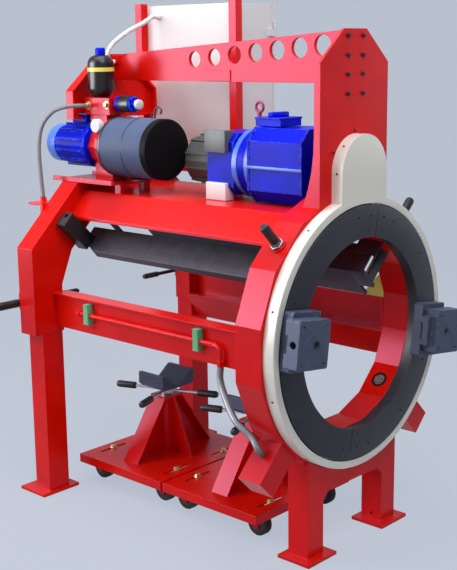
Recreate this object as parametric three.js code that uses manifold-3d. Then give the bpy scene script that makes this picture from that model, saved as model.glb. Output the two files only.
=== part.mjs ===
// Ring-head pipe machine: a polygonal ring housing and a rear arch joined by a box beam and two
// side rails, with a geared black tool ring on the front, a gearmotor and a power pack on top,
// an electrical cabinet on posts, and two pipe trolleys that roll on the floor between the frames.
// Units are millimetres. X runs across the machine, Y from the ring face to the rear, Z up.
import * as THREE from "three";
import { mergeVertices } from "three/addons/utils/BufferGeometryUtils.js";
import Module from "manifold-3d";

const wasm = await Module();
wasm.setup();

// Sizes that the whole machine shares
const AXIS_HEIGHT = 845;
const FRAME_GAP = 1136;
const SEAT_GAP = 0.3;
const RUNNING_FIT = 0.6;
const OVERRUN = 5;
const LAP = 1;
const PLATE = 8;
const VENT_RADIUS = 7;
const MERGE_TOLERANCE = 0.0003;
const FULL_TURN = Math.PI * 2;
const EIGHTH_TURN = Math.PI / 4;
const QUARTER_TURN = Math.PI / 2;
const PRESSURE_ANGLE = Math.PI / 9;

// How many sides the round parts have
const ROUND = 40;
const MIDDLE_ROUND = 16;
const SMALL_ROUND = 10;
const HEXAGON = 6;
const GRIP_ROUND = 8;

// Shares of a length, for outlines
const ADDENDUM_SHARE = 1;
const DEDENDUM_SHARE = 1.25;
const RING_FLANK_SHARES = [];
const PINION_FLANK_SHARES = [0];
const FLARE_SHARES = [[0.04, 0.28], [0.2, 0.52], [0.48, 0.74], [0.78, 0.92]];
const GRIP_SHARES = [0.7, 0.12, 0.88];
const BOTTLE_SHARES = [0.8, 0.4];

// Black tool ring, its bearing and its gear
const RING = { inner: 365, outer: 488, thick: 20, edge: 3, turn: Math.PI / 23 };
const GEAR = { module: 12, ringTeeth: 83, pinionTeeth: 19, backlash: 0.9, wide: 28, inner: 420 };
GEAR.ringPitch = (GEAR.module * GEAR.ringTeeth) / 2;
GEAR.pinionPitch = (GEAR.module * GEAR.pinionTeeth) / 2;
GEAR.rear = RING.thick + GEAR.wide;
const PINION_HEIGHT = AXIS_HEIGHT + GEAR.ringPitch + GEAR.pinionPitch;
const BEARING = { inner: 374, running: 1.5, behind: 4 };

// Cream keyhole cover in front of the gears
const COVER = { wall: 5, front: 4, face: 3, tipClearance: 6, ringClearance: 4, noseClearance: 6 };
COVER.inner = GEAR.ringPitch + GEAR.module * ADDENDUM_SHARE + COVER.tipClearance;
COVER.outer = COVER.inner + COVER.wall;
COVER.noseInner = GEAR.pinionPitch + GEAR.module * ADDENDUM_SHARE + COVER.noseClearance;
COVER.noseOuter = COVER.noseInner + COVER.wall;

// Polygonal ring housing
const HOUSING = {
  sides: 16, outer: 530, inner: 372, front: 54, depth: 120, window: 92, windowRim: 26, boss: 32, bossHigh: 6,
};
HOUSING.rear = HOUSING.front + HOUSING.depth;
const HOUSING_WINDOWS = [1, 7, 9, 12, 15];

// Rear arch, by its distances from the ring axis
const ARCH = { halfWidth: 540, shoulder: 556, rise: 505, inner: 388, drop: 125, depth: 100 };
ARCH.front = HOUSING.rear + FRAME_GAP;
ARCH.rear = ARCH.front + ARCH.depth;
ARCH.middle = (ARCH.front + ARCH.rear) / 2;
ARCH.top = AXIS_HEIGHT + ARCH.rise;
ARCH.foot = AXIS_HEIGHT - ARCH.drop;
const REAR_LEG = { x: 448, width: 106, depth: 94, footWidth: 195, footDepth: 163, footBack: 20, footThick: 13 };

// Front stand
const STAND = {
  legX: 235, legWidth: 90, legDepth: 98, ahead: 12, footWidth: 170, footDepth: 152, footThick: 13, footAhead: 34,
  bridgeDrop: 593, bridgeHigh: 150, corner: 32, saddleGap: 5,
};
STAND.front = HOUSING.front - STAND.ahead;
STAND.rear = STAND.front + STAND.legDepth;
STAND.bridgeBottom = AXIS_HEIGHT - STAND.bridgeDrop;

// Box beam and side rails between the frames
const BEAM = {
  rise: 468, topHalf: 247, slopeHigh: 103, slopeWide: 73, lipHigh: 12, sheet: 8, ribs: 4, ribThick: 8, ribIn: 2,
};
BEAM.lowHalf = BEAM.topHalf + BEAM.slopeWide;
BEAM.top = AXIS_HEIGHT + BEAM.rise;
BEAM.low = BEAM.top - BEAM.slopeHigh;
BEAM.bottom = BEAM.low - BEAM.lipHigh;
const RAIL = { outer: 430, inner: 370, drop: 97, high: 147, ledge: 12, ledgeHigh: 8, wall: 6, plate: 10 };
RAIL.bottom = AXIS_HEIGHT - RAIL.drop;
RAIL.top = RAIL.bottom + RAIL.high;
const SKIRT = { drop: 112, reach: 58, thick: 6 };

// Column, bar and rear plate of the top arch
const COLUMN = {
  half: 205, rise: 1125, topHalf: 68, shoulderDrop: 120, thick: 12, flange: 16, flareDeep: 54, flareRise: 765,
  shaftHole: 44,
};
COLUMN.top = AXIS_HEIGHT + COLUMN.rise;
COLUMN.shoulder = COLUMN.top - COLUMN.shoulderDrop;
COLUMN.rear = HOUSING.front + COLUMN.thick;
const BAR = {
  web: 16, rise: 928, frontHigh: 195, rearHigh: 107, plateHalf: 66, plateThick: 14, plateDrop: 73, plateHigh: 189,
  rearHalf: 60, rearTopClear: 8, headClear: 2, holes: 7, firstHole: 133, lastHole: 531, holeFront: 40, holeRear: 33,
  firstHoleHigh: 139, lastHoleHigh: 89, tabFromRear: 732, tabLong: 131, tabLow: 3, tabHigh: 46, tabThick: 5,
  gland: 13, glandLong: 14, glandFromRear: 51, glandHigh: 79,
};
BAR.bottom = AXIS_HEIGHT + BAR.rise;
BAR.front = COLUMN.rear + SEAT_GAP;
const HEAD = {
  rise: 767, sideHigh: 120, high: 274, topHalf: 66, plate: 14, lip: 32, lipThick: 10, stem: 48, stemIn: 6,
};
HEAD.bottom = AXIS_HEIGHT + HEAD.rise;
HEAD.top = HEAD.bottom + HEAD.high;
BAR.rear = ARCH.rear - HEAD.plate - SEAT_GAP;

// Gearmotor on the pinion axis
const DRIVE = {
  neck: 70, neckLong: 124, unitHalf: 138, unitTop: 148, corner: 48, unitLong: 271, flange: 132, flangeLong: 88,
  seamOut: 3, seam: 10, shaft: 28, shaftLong: 100, boreClear: 0.5, blockHalf: 122, blockCorner: 34, blockLong: 141,
  bell: 108, bellLong: 14, cowl: 98, cowlLong: 136, ribs: 10, ribHigh: 5, ribWide: 8,
  boxHalf: 62, boxBack: 104, boxLong: 127, boxHigh: 34, boxOut: 3, lid: 6,
};
DRIVE.unitFront = BAR.front + DRIVE.neckLong;
DRIVE.unitRear = DRIVE.unitFront + DRIVE.unitLong;
DRIVE.flangeRear = DRIVE.unitRear + DRIVE.flangeLong;
DRIVE.blockRear = DRIVE.flangeRear + SEAT_GAP + DRIVE.blockLong;
DRIVE.shaftRear = RING.thick + DRIVE.shaftLong;

// Power pack on the beam and arch, by distances from the front and the top of the arch
const PACK = {
  x: -150, rise: 150, tank: 126, tankLong: 294, tankGap: 126, bead: 3, trayLeft: 134, trayRight: 94, trayFront: 221,
  trayRear: 164, trayThick: 6, trayLip: 20, legLong: 34, legHalf: 17, legSpread: 68, flange: 116, flangeLong: 28,
  bodyHalf: 66, bodyOut: 12, bodyLong: 86, footHalf: 40, riserHalf: 40, topHalf: 44, topLow: 110, capLow: 134,
  topHigh: 205, topFront: 120, topRear: 40, neckRear: 8, motor: 86, bellStep: 6, motorFlange: 98, motorFlangeLong: 18,
  finGap: 8, finLong: 178, fins: 12, finHigh: 10, finWide: 6, cowl: 80, cowlLong: 82, cowlEdge: 12,
  port: 10, portLong: 14, portIn: 28, portDown: 34,
};
PACK.z = ARCH.top + PACK.rise;
PACK.tankRear = ARCH.front - PACK.tankGap;
PACK.tankFront = PACK.tankRear - PACK.tankLong;
PACK.flangeRear = PACK.tankRear + PACK.flangeLong;
PACK.bodyRear = PACK.flangeRear + PACK.bodyLong;
PACK.base = ARCH.top + SEAT_GAP;
PACK.finFront = PACK.bodyRear + SEAT_GAP + PACK.bellStep + PACK.motorFlangeLong;
PACK.finRear = PACK.finFront + PACK.finLong;
const BOTTLE = {
  ahead: 23, radius: 56, bottomRadius: 32, step: 4, stepHigh: 6, shoulder: 34, high: 179, cap: 20, capHigh: 28,
  capEdge: 3,
};
const VALVE = { down: 25, radius: 33, step: 4, collar: 20, collarLong: 14, coilLong: 94, plug: 15, plugLong: 22, plugStep: 10 };

// Electrical cabinet on two posts
const POST = {
  half: 20, inset: 21, ahead: 460, rise: 755, wall: 4, rearDrop: 110, railRise: 16, railHigh: 40, foot: 34, footIn: 2,
};
POST.x = BEAM.topHalf - POST.inset;
POST.frontY = ARCH.front - POST.ahead;
POST.rearY = ARCH.rear + SEAT_GAP + POST.half;
POST.top = ARCH.top + POST.rise;
POST.railLow = ARCH.top + POST.railRise;
HEAD.half = POST.x + POST.half;
const CABINET = {
  past: 46, ahead: 6, rise: 12, high: 733, deep: 224, doorThick: 20, wall: 4, lip: 16, doorGap: 2, panelOff: 22,
  panel: 5, panelRim: 48, studWide: 16, studRim: 80, hinge: 7, pin: 3, hingeClear: 0.5, hingeLong: 30,
  hingeFromEnd: 110, hingeOut: 12, hingeAhead: 8, leafLong: 32, stile: 64, glandAhead: 124, glandDown: 49, gland: 13,
  glandLong: 16,
};
CABINET.x = POST.x + POST.half + SEAT_GAP;
CABINET.front = POST.frontY + CABINET.ahead;
CABINET.rear = ARCH.rear + CABINET.past;
CABINET.bottom = ARCH.top + CABINET.rise;
CABINET.top = CABINET.bottom + CABINET.high;
CABINET.opening = CABINET.x + CABINET.deep;
CABINET.outer = CABINET.opening + CABINET.doorThick;
CABINET.hingeX = CABINET.opening + CABINET.hingeOut;
CABINET.hingeY = CABINET.front - CABINET.hingeAhead;
const LATCH = {
  rise: 358, fromEdge: 46, base: 20, reach: 16, long: 108, width: 22, thick: 9, shaft: 6, neck: 9, clear: 0.5,
};
LATCH.y = CABINET.rear - LATCH.fromEdge;
LATCH.z = CABINET.bottom + LATCH.rise;

// Tool slides on the ring
const TOOL = {
  saddleIn: 330, saddleLong: 155, saddleHigh: 212, saddleThick: 40, slideIn: 320, slideLong: 200, slideHigh: 174,
  slideThick: 62, step: 30, stepDeep: 26, nose: 118, hole: 11, endHole: 14, holeDeep: 32, rib: 64, ribDeep: 12,
  ribGap: 0.5, ribIn: 4, chamfer: 6,
};

// Clamps: upper shoes with screws, rear spindles, lower cylinders
const SHOE = {
  radius: 344, thick: 14, half: 72, ahead: 96, back: 65, chamferLong: 65, chamferTo: -20, tongueHalf: 26,
  tongueFront: 24, tabs: 5, firstTab: 242, lastTab: 53, tabLong: 20, tabThick: 10, tabHigh: 34, tube: 22,
  tubeHigh: 150, rearTongueHalf: 18, rearTongue: 52, rod: 10, rodAhead: 30, rodHigh: 160, edge: 24, edgeThick: 8,
  edgeIn: 34, edgeEnd: 4, boreFloor: 2,
};
SHOE.front = HOUSING.front + SHOE.ahead;
SHOE.rear = ARCH.front - SHOE.back;
SHOE.rodY = ARCH.front - SHOE.rodAhead;
SHOE.tongueY = HOUSING.front + SHOE.tongueFront;
const SHOE_INWARD = { left: 0, right: 125 };
const SHOE_OUTWARD = { left: 0, right: 60 };
const GUIDE = { inner: 362, outer: 530, low: 50, ahead: 58, beamClear: 7.3 };
GUIDE.high = (BEAM.bottom - AXIS_HEIGHT - BEAM.lowHalf) / Math.SQRT2 - GUIDE.beamClear;
const SCREW = {
  radius: 13, y: 106, clear: 1, footClear: 6, collar: 24, collarLong: 10, grip: 17, gripOff: 4,
  gripLong: 92, gripIn: 4,
};
const SPINDLE = {
  behind: 26, tip: 200, sleeve: 13, sleeveLong: 100, rod: 8, grip: 17, gripIn: 523, gripLong: 117,
  collar: 13, collarLong: 12, collarIn: 2, blockIn: 434, blockOut: 506, block: 26, arm: 36,
};
SPINDLE.y = ARCH.rear + SPINDLE.behind;
const RAM = { half: 50, ahead: 6, long: 105, high: 172, rod: 22.5, rodIn: 372, cap: 12, rodEnd: 2 };
RAM.front = HOUSING.front + RAM.ahead;
RAM.rear = RAM.front + RAM.long;
RAM.middle = (RAM.front + RAM.rear) / 2;
RAM.foot = HOUSING.outer + SEAT_GAP;
RAM.end = RAM.foot + RAM.high;

// Oil line on the left rail, and the free hoses
const PIPE = {
  radius: 9, low: 82, off: 16, rearGap: 186, front: 186, bend: 34, bendSteps: 6, drop: 24, nut: 14, nutLong: 20,
};
PIPE.z = RAIL.bottom + PIPE.low;
PIPE.x = -RAIL.outer - PIPE.off;
PIPE.bendY = HOUSING.rear + PIPE.front;
PIPE.end = PIPE.z - PIPE.bend - PIPE.drop;
const CLIP = { half: 13, below: 33, above: 44, off: 30, rearGap: 234, frontGap: 269, plate: 3, plateOut: 1 };
const HOSE = { radius: 13, sides: 5, steps: 16, gap: 1 };
const CABLE_HOSE = { radius: 9, sides: 4, steps: 18 };
const CONDUIT = { radius: 10, sides: 4, steps: 14, gap: 2 };
const BRACKET = { left: -402, right: -318, x: -345, down: 88, high: 66, reach: 90, thick: 10, fitting: 15, fittingHigh: 18 };
BRACKET.z = ARCH.top - BRACKET.down;
BRACKET.y = ARCH.rear + BRACKET.reach - BRACKET.fitting * 2;

// Pipe trolleys
const TROLLEY = {
  half: 300, halfLong: 262, top: 122, thick: 8, lip: 30, casterX: 208, casterY: 200, wheel: 50, wheelWide: 32,
  lift: 0.4, pin: 7, pinOut: 3, fork: 6, forkGap: 2.5, forkHalf: 22, forkHigh: 86, fromArch: 225,
  fromHousing: 374, rise: 268, baseHalf: 232, topHalf: 56, web: 10, flange: 8, flangeHalf: 44, crossHalf: 150,
  crossTop: 46, cap: 10, post: 30, stem: 16, stemLong: 148, boreLong: 162, slotX: 148, slotY: 205,
  slotLong: 150, slotWide: 16,
};
TROLLEY.rearY = ARCH.front - TROLLEY.fromArch;
TROLLEY.frontY = HOUSING.rear + TROLLEY.fromHousing;
TROLLEY.deck = TROLLEY.top - TROLLEY.thick;
TROLLEY.head = TROLLEY.top + TROLLEY.rise;
TROLLEY.axle = TROLLEY.wheel + TROLLEY.lift;
const CAPSTAN = {
  high: 34, hub: 32, rod: 7, rodIn: 8, reach: 155, grip: 15, gripLong: 95, arms: 4, turn: Math.PI / 9, rise: 17,
};
const SADDLE = {
  half: 98, lift: 5, high: 68, wall: 16, halfLong: 75, seat: 12, floor: 14, corner: 18, hub: 26, hubGap: 0.9, weld: 2,
};

// Colours and finishes
const PAINT = {
  red: { color: 0xc8150c, roughness: 0.32, metalness: 0.05 },
  cream: { color: 0xece6d6, roughness: 0.4, metalness: 0.02 },
  black: { color: 0x26272b, roughness: 0.45, metalness: 0.3 },
  tool: { color: 0x3a4352, roughness: 0.4, metalness: 0.5 },
  shoe: { color: 0x45444e, roughness: 0.6, metalness: 0.2 },
  blue: { color: 0x1a2fd8, roughness: 0.35, metalness: 0.1 },
  tank: { color: 0x4c5674, roughness: 0.4, metalness: 0.2 },
  white: { color: 0xe9e9ea, roughness: 0.5, metalness: 0.05 },
  steel: { color: 0x9a9da3, roughness: 0.35, metalness: 0.85 },
  rubber: { color: 0x16171a, roughness: 0.75, metalness: 0.0 },
  green: { color: 0x4fae77, roughness: 0.5, metalness: 0.0 },
  hose: { color: 0x4a4c55, roughness: 0.7, metalness: 0.0 },
  conduit: { color: 0xd9dde4, roughness: 0.6, metalness: 0.0 },
};

// Solids

function solid(geometry) {
  geometry.deleteAttribute("normal");
  geometry.deleteAttribute("uv");
  const merged = mergeVertices(geometry, MERGE_TOLERANCE);
  return new wasm.Manifold(new wasm.Mesh({
    numProp: 3,
    vertProperties: merged.attributes.position.array,
    triVerts: new Uint32Array(merged.index.array),
  }));
}

function joined(...solids) {
  return solids.flat().reduce((a, b) => a.add(b));
}

function cut(body, ...tools) {
  return tools.flat().reduce((a, b) => a.subtract(b), body);
}

function moved(body, x, y, z) {
  return body.translate([x, y, z]);
}

// Turned about the Y line through the ring axis, by a positive angle from +X towards +Z.
function aboutAxis(body, angle) {
  const degrees = (-angle * 360) / FULL_TURN;
  return body.translate([0, 0, -AXIS_HEIGHT]).rotate([0, degrees, 0]).translate([0, 0, AXIS_HEIGHT]);
}

function mirroredX(body) {
  return body.mirror([1, 0, 0]);
}

function outline(points) {
  return new THREE.Shape(points.map(([a, b]) => new THREE.Vector2(a, b)));
}

function extruded(shape, depth, curveSegments) {
  return new THREE.ExtrudeGeometry(shape, { depth, bevelEnabled: false, curveSegments });
}

// An outline of X and Z values, extruded along Y.
function alongY(shape, from, to) {
  const g = extruded(shape, to - from, SMALL_ROUND);
  g.rotateX(QUARTER_TURN);
  g.translate(0, to, 0);
  return solid(g);
}

// An outline of Y and Z values, extruded along X.
function alongX(shape, from, to) {
  const g = extruded(shape, to - from, SMALL_ROUND);
  g.applyMatrix4(new THREE.Matrix4().makeBasis(
    new THREE.Vector3(0, 1, 0), new THREE.Vector3(0, 0, 1), new THREE.Vector3(1, 0, 0)));
  g.translate(from, 0, 0);
  return solid(g);
}

function box(x0, x1, y0, y1, z0, z1) {
  const g = new THREE.BoxGeometry(x1 - x0, y1 - y0, z1 - z0);
  g.translate((x0 + x1) / 2, (y0 + y1) / 2, (z0 + z1) / 2);
  return solid(g);
}

// A box whose X range is given for the right side and mirrored when side is -1.
function sideBox(side, x0, x1, y0, y1, z0, z1) {
  return side > 0 ? box(x0, x1, y0, y1, z0, z1) : box(-x1, -x0, y0, y1, z0, z1);
}

function rodY(radius, from, to, x, z, segments = MIDDLE_ROUND) {
  const g = new THREE.CylinderGeometry(radius, radius, to - from, segments);
  g.translate(x, (from + to) / 2, z);
  return solid(g);
}

function rodX(radius, from, to, y, z, segments = MIDDLE_ROUND) {
  const g = new THREE.CylinderGeometry(radius, radius, to - from, segments);
  g.rotateZ(-QUARTER_TURN);
  g.translate((from + to) / 2, y, z);
  return solid(g);
}

function rodZ(radius, from, to, x, y, segments = MIDDLE_ROUND) {
  const g = new THREE.CylinderGeometry(radius, radius, to - from, segments);
  g.rotateX(QUARTER_TURN);
  g.translate(x, y, (from + to) / 2);
  return solid(g);
}

// A closed profile of [radius, place] pairs turned about the Y axis, whichever way it is listed.
function turned(profile, segments) {
  const closed = [...profile, profile[0]];
  const area = profile.reduce((sum, [r, h], i) => sum + r * closed[i + 1][1] - closed[i + 1][0] * h, 0);
  const points = (area > 0 ? closed : closed.reverse()).map(([r, h]) => new THREE.Vector2(r, h));
  return solid(new THREE.LatheGeometry(points, segments));
}

function turnedAboutRing(profile, segments) {
  return moved(turned(profile, segments), 0, 0, AXIS_HEIGHT);
}

// A regular polygon about the ring axis by the distance to its flats, with a flat on every axis.
function polygon(sides, flat) {
  const corner = flat / Math.cos(Math.PI / sides);
  return Array.from({ length: sides }, (_, i) => {
    const angle = ((i + 0.5) / sides) * FULL_TURN;
    return [corner * Math.cos(angle), AXIS_HEIGHT + corner * Math.sin(angle)];
  });
}

// The radius of a faceted bore whose flats clear a shaft that turns in it.
function turningBore(shaft, segments) {
  return (shaft + RUNNING_FIT) / Math.cos(Math.PI / segments);
}

// A radial piece is made along +X from the ring axis height and turned to its place.
function radialRod(radius, from, to, y, angle, segments) {
  return aboutAxis(rodX(radius, from, to, y, AXIS_HEIGHT, segments), angle);
}

function radialBox(from, to, half, y0, y1, angle) {
  return aboutAxis(box(from, to, y0, y1, AXIS_HEIGHT - half, AXIS_HEIGHT + half), angle);
}

const UPPER_RIGHT = EIGHTH_TURN;
const UPPER_LEFT = 3 * EIGHTH_TURN;
const LOWER_LEFT = 5 * EIGHTH_TURN;
const LOWER_RIGHT = 7 * EIGHTH_TURN;
const SIDES = [-1, 1];

// Gears

// The polar outline of an involute gear whose first tooth is centred on the given angle.
function gearOutline(teeth, phase, backlash, flank) {
  const pitch = (GEAR.module * teeth) / 2;
  const base = pitch * Math.cos(PRESSURE_ANGLE);
  const root = pitch - GEAR.module * DEDENDUM_SHARE;
  const tip = pitch + GEAR.module * ADDENDUM_SHARE;
  const involute = (angle) => Math.tan(angle) - angle;
  const halfAngle = (r) => {
    const atPitch = (QUARTER_TURN - backlash / GEAR.module) / teeth;
    const here = Math.acos(Math.min(1, base / Math.max(r, base)));
    return atPitch + involute(PRESSURE_ANGLE) - involute(here);
  };
  const heights = [root, ...flank.map((share) => pitch + GEAR.module * share), tip];
  const points = [];
  for (let tooth = 0; tooth < teeth; tooth++) {
    const centre = phase + (tooth / teeth) * FULL_TURN;
    for (const r of heights) points.push([r, centre - halfAngle(r)]);
    for (const r of [...heights].reverse()) points.push([r, centre + halfAngle(r)]);
  }
  return points.map(([r, a]) => [r * Math.cos(a), r * Math.sin(a)]);
}

function atHeight(points, z) {
  return points.map(([x, y]) => [x, z + y]);
}

function ringGear() {
  const teeth = atHeight(gearOutline(GEAR.ringTeeth, QUARTER_TURN, GEAR.backlash, RING_FLANK_SHARES), AXIS_HEIGHT);
  const blank = alongY(outline(teeth), RING.thick + SEAT_GAP, GEAR.rear);
  return cut(blank, rodY(GEAR.inner, 0, GEAR.rear + OVERRUN, 0, AXIS_HEIGHT, ROUND));
}

function drivePinion() {
  const toothDown = -QUARTER_TURN + FULL_TURN / GEAR.pinionTeeth / 2;
  const teeth = atHeight(gearOutline(GEAR.pinionTeeth, toothDown, GEAR.backlash, PINION_FLANK_SHARES), PINION_HEIGHT);
  const wheel = alongY(outline(teeth), RING.thick + SEAT_GAP, GEAR.rear);
  const shaft = rodY(DRIVE.shaft, RING.thick + SEAT_GAP * 2, DRIVE.shaftRear, 0, PINION_HEIGHT);
  return joined(wheel, shaft);
}

function rotaryRing() {
  const { inner, outer, thick, edge } = RING;
  return turnedAboutRing([[inner, 0], [outer - edge, 0], [outer, edge], [outer, thick], [inner, thick]], ROUND);
}

function bearingRace() {
  const outer = GEAR.inner - BEARING.running;
  const front = RING.thick + BEARING.behind;
  const rear = HOUSING.front - SEAT_GAP;
  return turnedAboutRing([[BEARING.inner, front], [outer, front], [outer, rear], [BEARING.inner, rear]], ROUND);
}

function ringCover() {
  const rear = HOUSING.front - SEAT_GAP;
  const keyhole = (radius, nose, from, to) => joined(
    rodY(radius, from, to, 0, AXIS_HEIGHT, ROUND),
    rodY(nose, from, to, 0, PINION_HEIGHT, ROUND / 2),
    box(-nose, nose, from, to, AXIS_HEIGHT, PINION_HEIGHT));
  const shell = keyhole(COVER.outer, COVER.noseOuter, COVER.front, rear);
  const inside = keyhole(COVER.inner, COVER.noseInner, COVER.front + COVER.face, rear + OVERRUN);
  const opening = rodY(RING.outer + COVER.ringClearance, 0, rear, 0, AXIS_HEIGHT, ROUND);
  return cut(shell, inside, opening);
}

// Frames

function ringHousing() {
  const { sides, front, rear, outer, inner } = HOUSING;
  const shell = alongY(outline(polygon(sides, outer)), front, rear);
  const bore = alongY(outline(polygon(sides, inner)), front - OVERRUN, rear + OVERRUN);
  const hollow = cut(
    alongY(outline(polygon(sides, outer - PLATE)), front + PLATE, rear - PLATE),
    alongY(outline(polygon(sides, inner + PLATE)), front, rear));
  const windows = HOUSING_WINDOWS.map((sector) =>
    radialBox(inner + HOUSING.windowRim, outer - HOUSING.windowRim, HOUSING.window / 2, rear - PLATE * 2,
      rear + OVERRUN, (sector * FULL_TURN) / sides));
  const upper = [UPPER_LEFT, UPPER_RIGHT];
  const bossTop = outer + HOUSING.bossHigh;
  const bosses = upper.map((angle) =>
    radialRod(HOUSING.boss, outer - PLATE / 2, bossTop, SCREW.y, angle, MIDDLE_ROUND));
  const screwBores = upper.flatMap((angle) => [
    radialRod(SHOE.tube + SCREW.clear, inner - OVERRUN, (inner + outer) / 2, SCREW.y, angle, MIDDLE_ROUND),
    radialRod(turningBore(SCREW.radius, SMALL_ROUND), outer - PLATE * 2, bossTop + OVERRUN, SCREW.y, angle,
      SMALL_ROUND),
  ]);
  const ramBores = [LOWER_LEFT, LOWER_RIGHT].map((angle) =>
    radialRod(RAM.rod + RUNNING_FIT, inner - OVERRUN, outer + OVERRUN, RAM.middle, angle, MIDDLE_ROUND));
  return cut(joined(cut(shell, bore, hollow), bosses), windows, screwBores, ramBores);
}

function archOutline(inset) {
  const side = ARCH.halfWidth - inset;
  const diagonal = (ARCH.shoulder - inset) * Math.SQRT2;
  const rise = ARCH.rise - inset;
  const top = AXIS_HEIGHT + rise;
  const bottom = ARCH.foot + inset;
  const high = AXIS_HEIGHT + diagonal - side;
  const inward = diagonal - rise;
  return outline([[side, bottom], [side, high], [inward, top], [-inward, top], [-side, high], [-side, bottom]]);
}

function archBore(flat, y0, y1) {
  return joined(
    alongY(outline(polygon(HOUSING.sides, flat)), y0, y1),
    box(-flat, flat, y0, y1, ARCH.foot - OVERRUN, AXIS_HEIGHT));
}

function rearFrame() {
  const { front, rear, middle, foot } = ARCH;
  const leg = REAR_LEG;
  const band = cut(alongY(archOutline(0), front, rear), archBore(ARCH.inner, front - OVERRUN, rear + OVERRUN));
  const hollow = cut(
    alongY(archOutline(PLATE), front + PLATE, rear - PLATE),
    archBore(ARCH.inner + PLATE, front, rear));
  const footY = middle + leg.footBack;
  const legs = SIDES.map((side) => {
    const x = side * leg.x;
    const tube = box(x - leg.width / 2, x + leg.width / 2, middle - leg.depth / 2, middle + leg.depth / 2, 0,
      foot + PLATE);
    const pad = box(x - leg.footWidth / 2, x + leg.footWidth / 2, footY - leg.footDepth / 2,
      footY + leg.footDepth / 2, 0, leg.footThick);
    return joined(tube, pad);
  });
  const legHollows = SIDES.map((side) => {
    const x = side * leg.x;
    const w = leg.width / 2 - PLATE;
    const d = leg.depth / 2 - PLATE;
    return box(x - w, x + w, middle - d, middle + d, leg.footThick, foot + PLATE + OVERRUN);
  });
  const vents = SIDES.map((side) => legVent(side * (leg.x - leg.width / 2), middle, leg.footThick));
  const bores = SIDES.map((side) => {
    const from = Math.min(side * SPINDLE.blockIn, side * SPINDLE.blockOut) - OVERRUN;
    const to = Math.max(side * SPINDLE.blockIn, side * SPINDLE.blockOut) + OVERRUN;
    return rodX(SPINDLE.rod + RUNNING_FIT, from, to, SPINDLE.y, AXIS_HEIGHT, SMALL_ROUND);
  });
  const frame = cut(joined(cut(band, hollow), legs), legHollows, vents);
  return cut(joined(frame, SIDES.map(spindleBlock), hoseBracket()), bores);
}

// A small hole through one wall of a leg, just above its foot plate.
function legVent(x, y, footThick) {
  return rodX(VENT_RADIUS, x - PLATE * 2, x + PLATE * 2, y, footThick + VENT_RADIUS * 3, HEXAGON);
}

function spindleBlock(side) {
  return sideBox(side, SPINDLE.blockIn, SPINDLE.blockOut, ARCH.rear - PLATE / 2, SPINDLE.y + SPINDLE.block,
    AXIS_HEIGHT - SPINDLE.arm, AXIS_HEIGHT + SPINDLE.arm);
}

// A small bracket behind the left shoulder of the arch holds the end fitting of the free hose.
function hoseBracket() {
  const { left, right, x, y, z, reach, thick, high } = BRACKET;
  const from = ARCH.rear - PLATE / 2;
  const shelf = box(left, right, from, ARCH.rear + reach, z - thick, z);
  const back = box(left, right, from, ARCH.rear + thick, z - high, z);
  const fitting = rodZ(BRACKET.fitting, z - thick / 2, z + BRACKET.fittingHigh, x, y, HEXAGON);
  return joined(shelf, back, fitting);
}

function frontStand() {
  const s = STAND;
  const half = s.legX + s.legWidth / 2;
  const split = HOUSING.front - SEAT_GAP;
  const flat = HOUSING.outer + SEAT_GAP;
  const block = box(-half, half, s.front, s.rear, s.bridgeBottom, s.bridgeBottom + s.bridgeHigh);
  const arc = rodY(COVER.outer + s.saddleGap, s.front - OVERRUN, split, 0, AXIS_HEIGHT, ROUND);
  const seat = alongY(outline(polygon(HOUSING.sides, flat)), split, s.rear + OVERRUN);
  const hollow = cut(
    box(-half + PLATE, half - PLATE, split, s.rear - PLATE, s.bridgeBottom + PLATE,
      s.bridgeBottom + s.bridgeHigh + OVERRUN),
    alongY(outline(polygon(HOUSING.sides, flat + PLATE)), split - OVERRUN, s.rear));
  const legs = SIDES.map((side) => {
    const x = side * s.legX;
    const tube = box(x - s.legWidth / 2, x + s.legWidth / 2, s.front, s.rear, 0, s.bridgeBottom + PLATE);
    const foot = box(x - s.footWidth / 2, x + s.footWidth / 2, s.front - s.footAhead,
      s.front - s.footAhead + s.footDepth, 0, s.footThick);
    return joined(tube, foot, cornerGusset(side));
  });
  const legHollows = SIDES.map((side) => {
    const x = side * s.legX;
    const w = s.legWidth / 2 - PLATE;
    return box(x - w, x + w, s.front + PLATE, s.rear - PLATE, s.footThick, s.bridgeBottom + PLATE + OVERRUN);
  });
  const vents = SIDES.map((side) =>
    legVent(side * (s.legX - s.legWidth / 2), (s.front + s.rear) / 2, s.footThick));
  return cut(joined(cut(block, arc, seat), legs), hollow, legHollows, vents);
}

function cornerGusset(side) {
  const edge = side * (STAND.legX - STAND.legWidth / 2 + LAP);
  const tip = edge - side * STAND.corner;
  const top = STAND.bridgeBottom + LAP;
  const low = STAND.bridgeBottom - STAND.corner;
  return alongY(outline(side > 0 ? [[edge, low], [edge, top], [tip, top]] : [[edge, top], [edge, low], [tip, top]]),
    STAND.front, STAND.rear);
}

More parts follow.
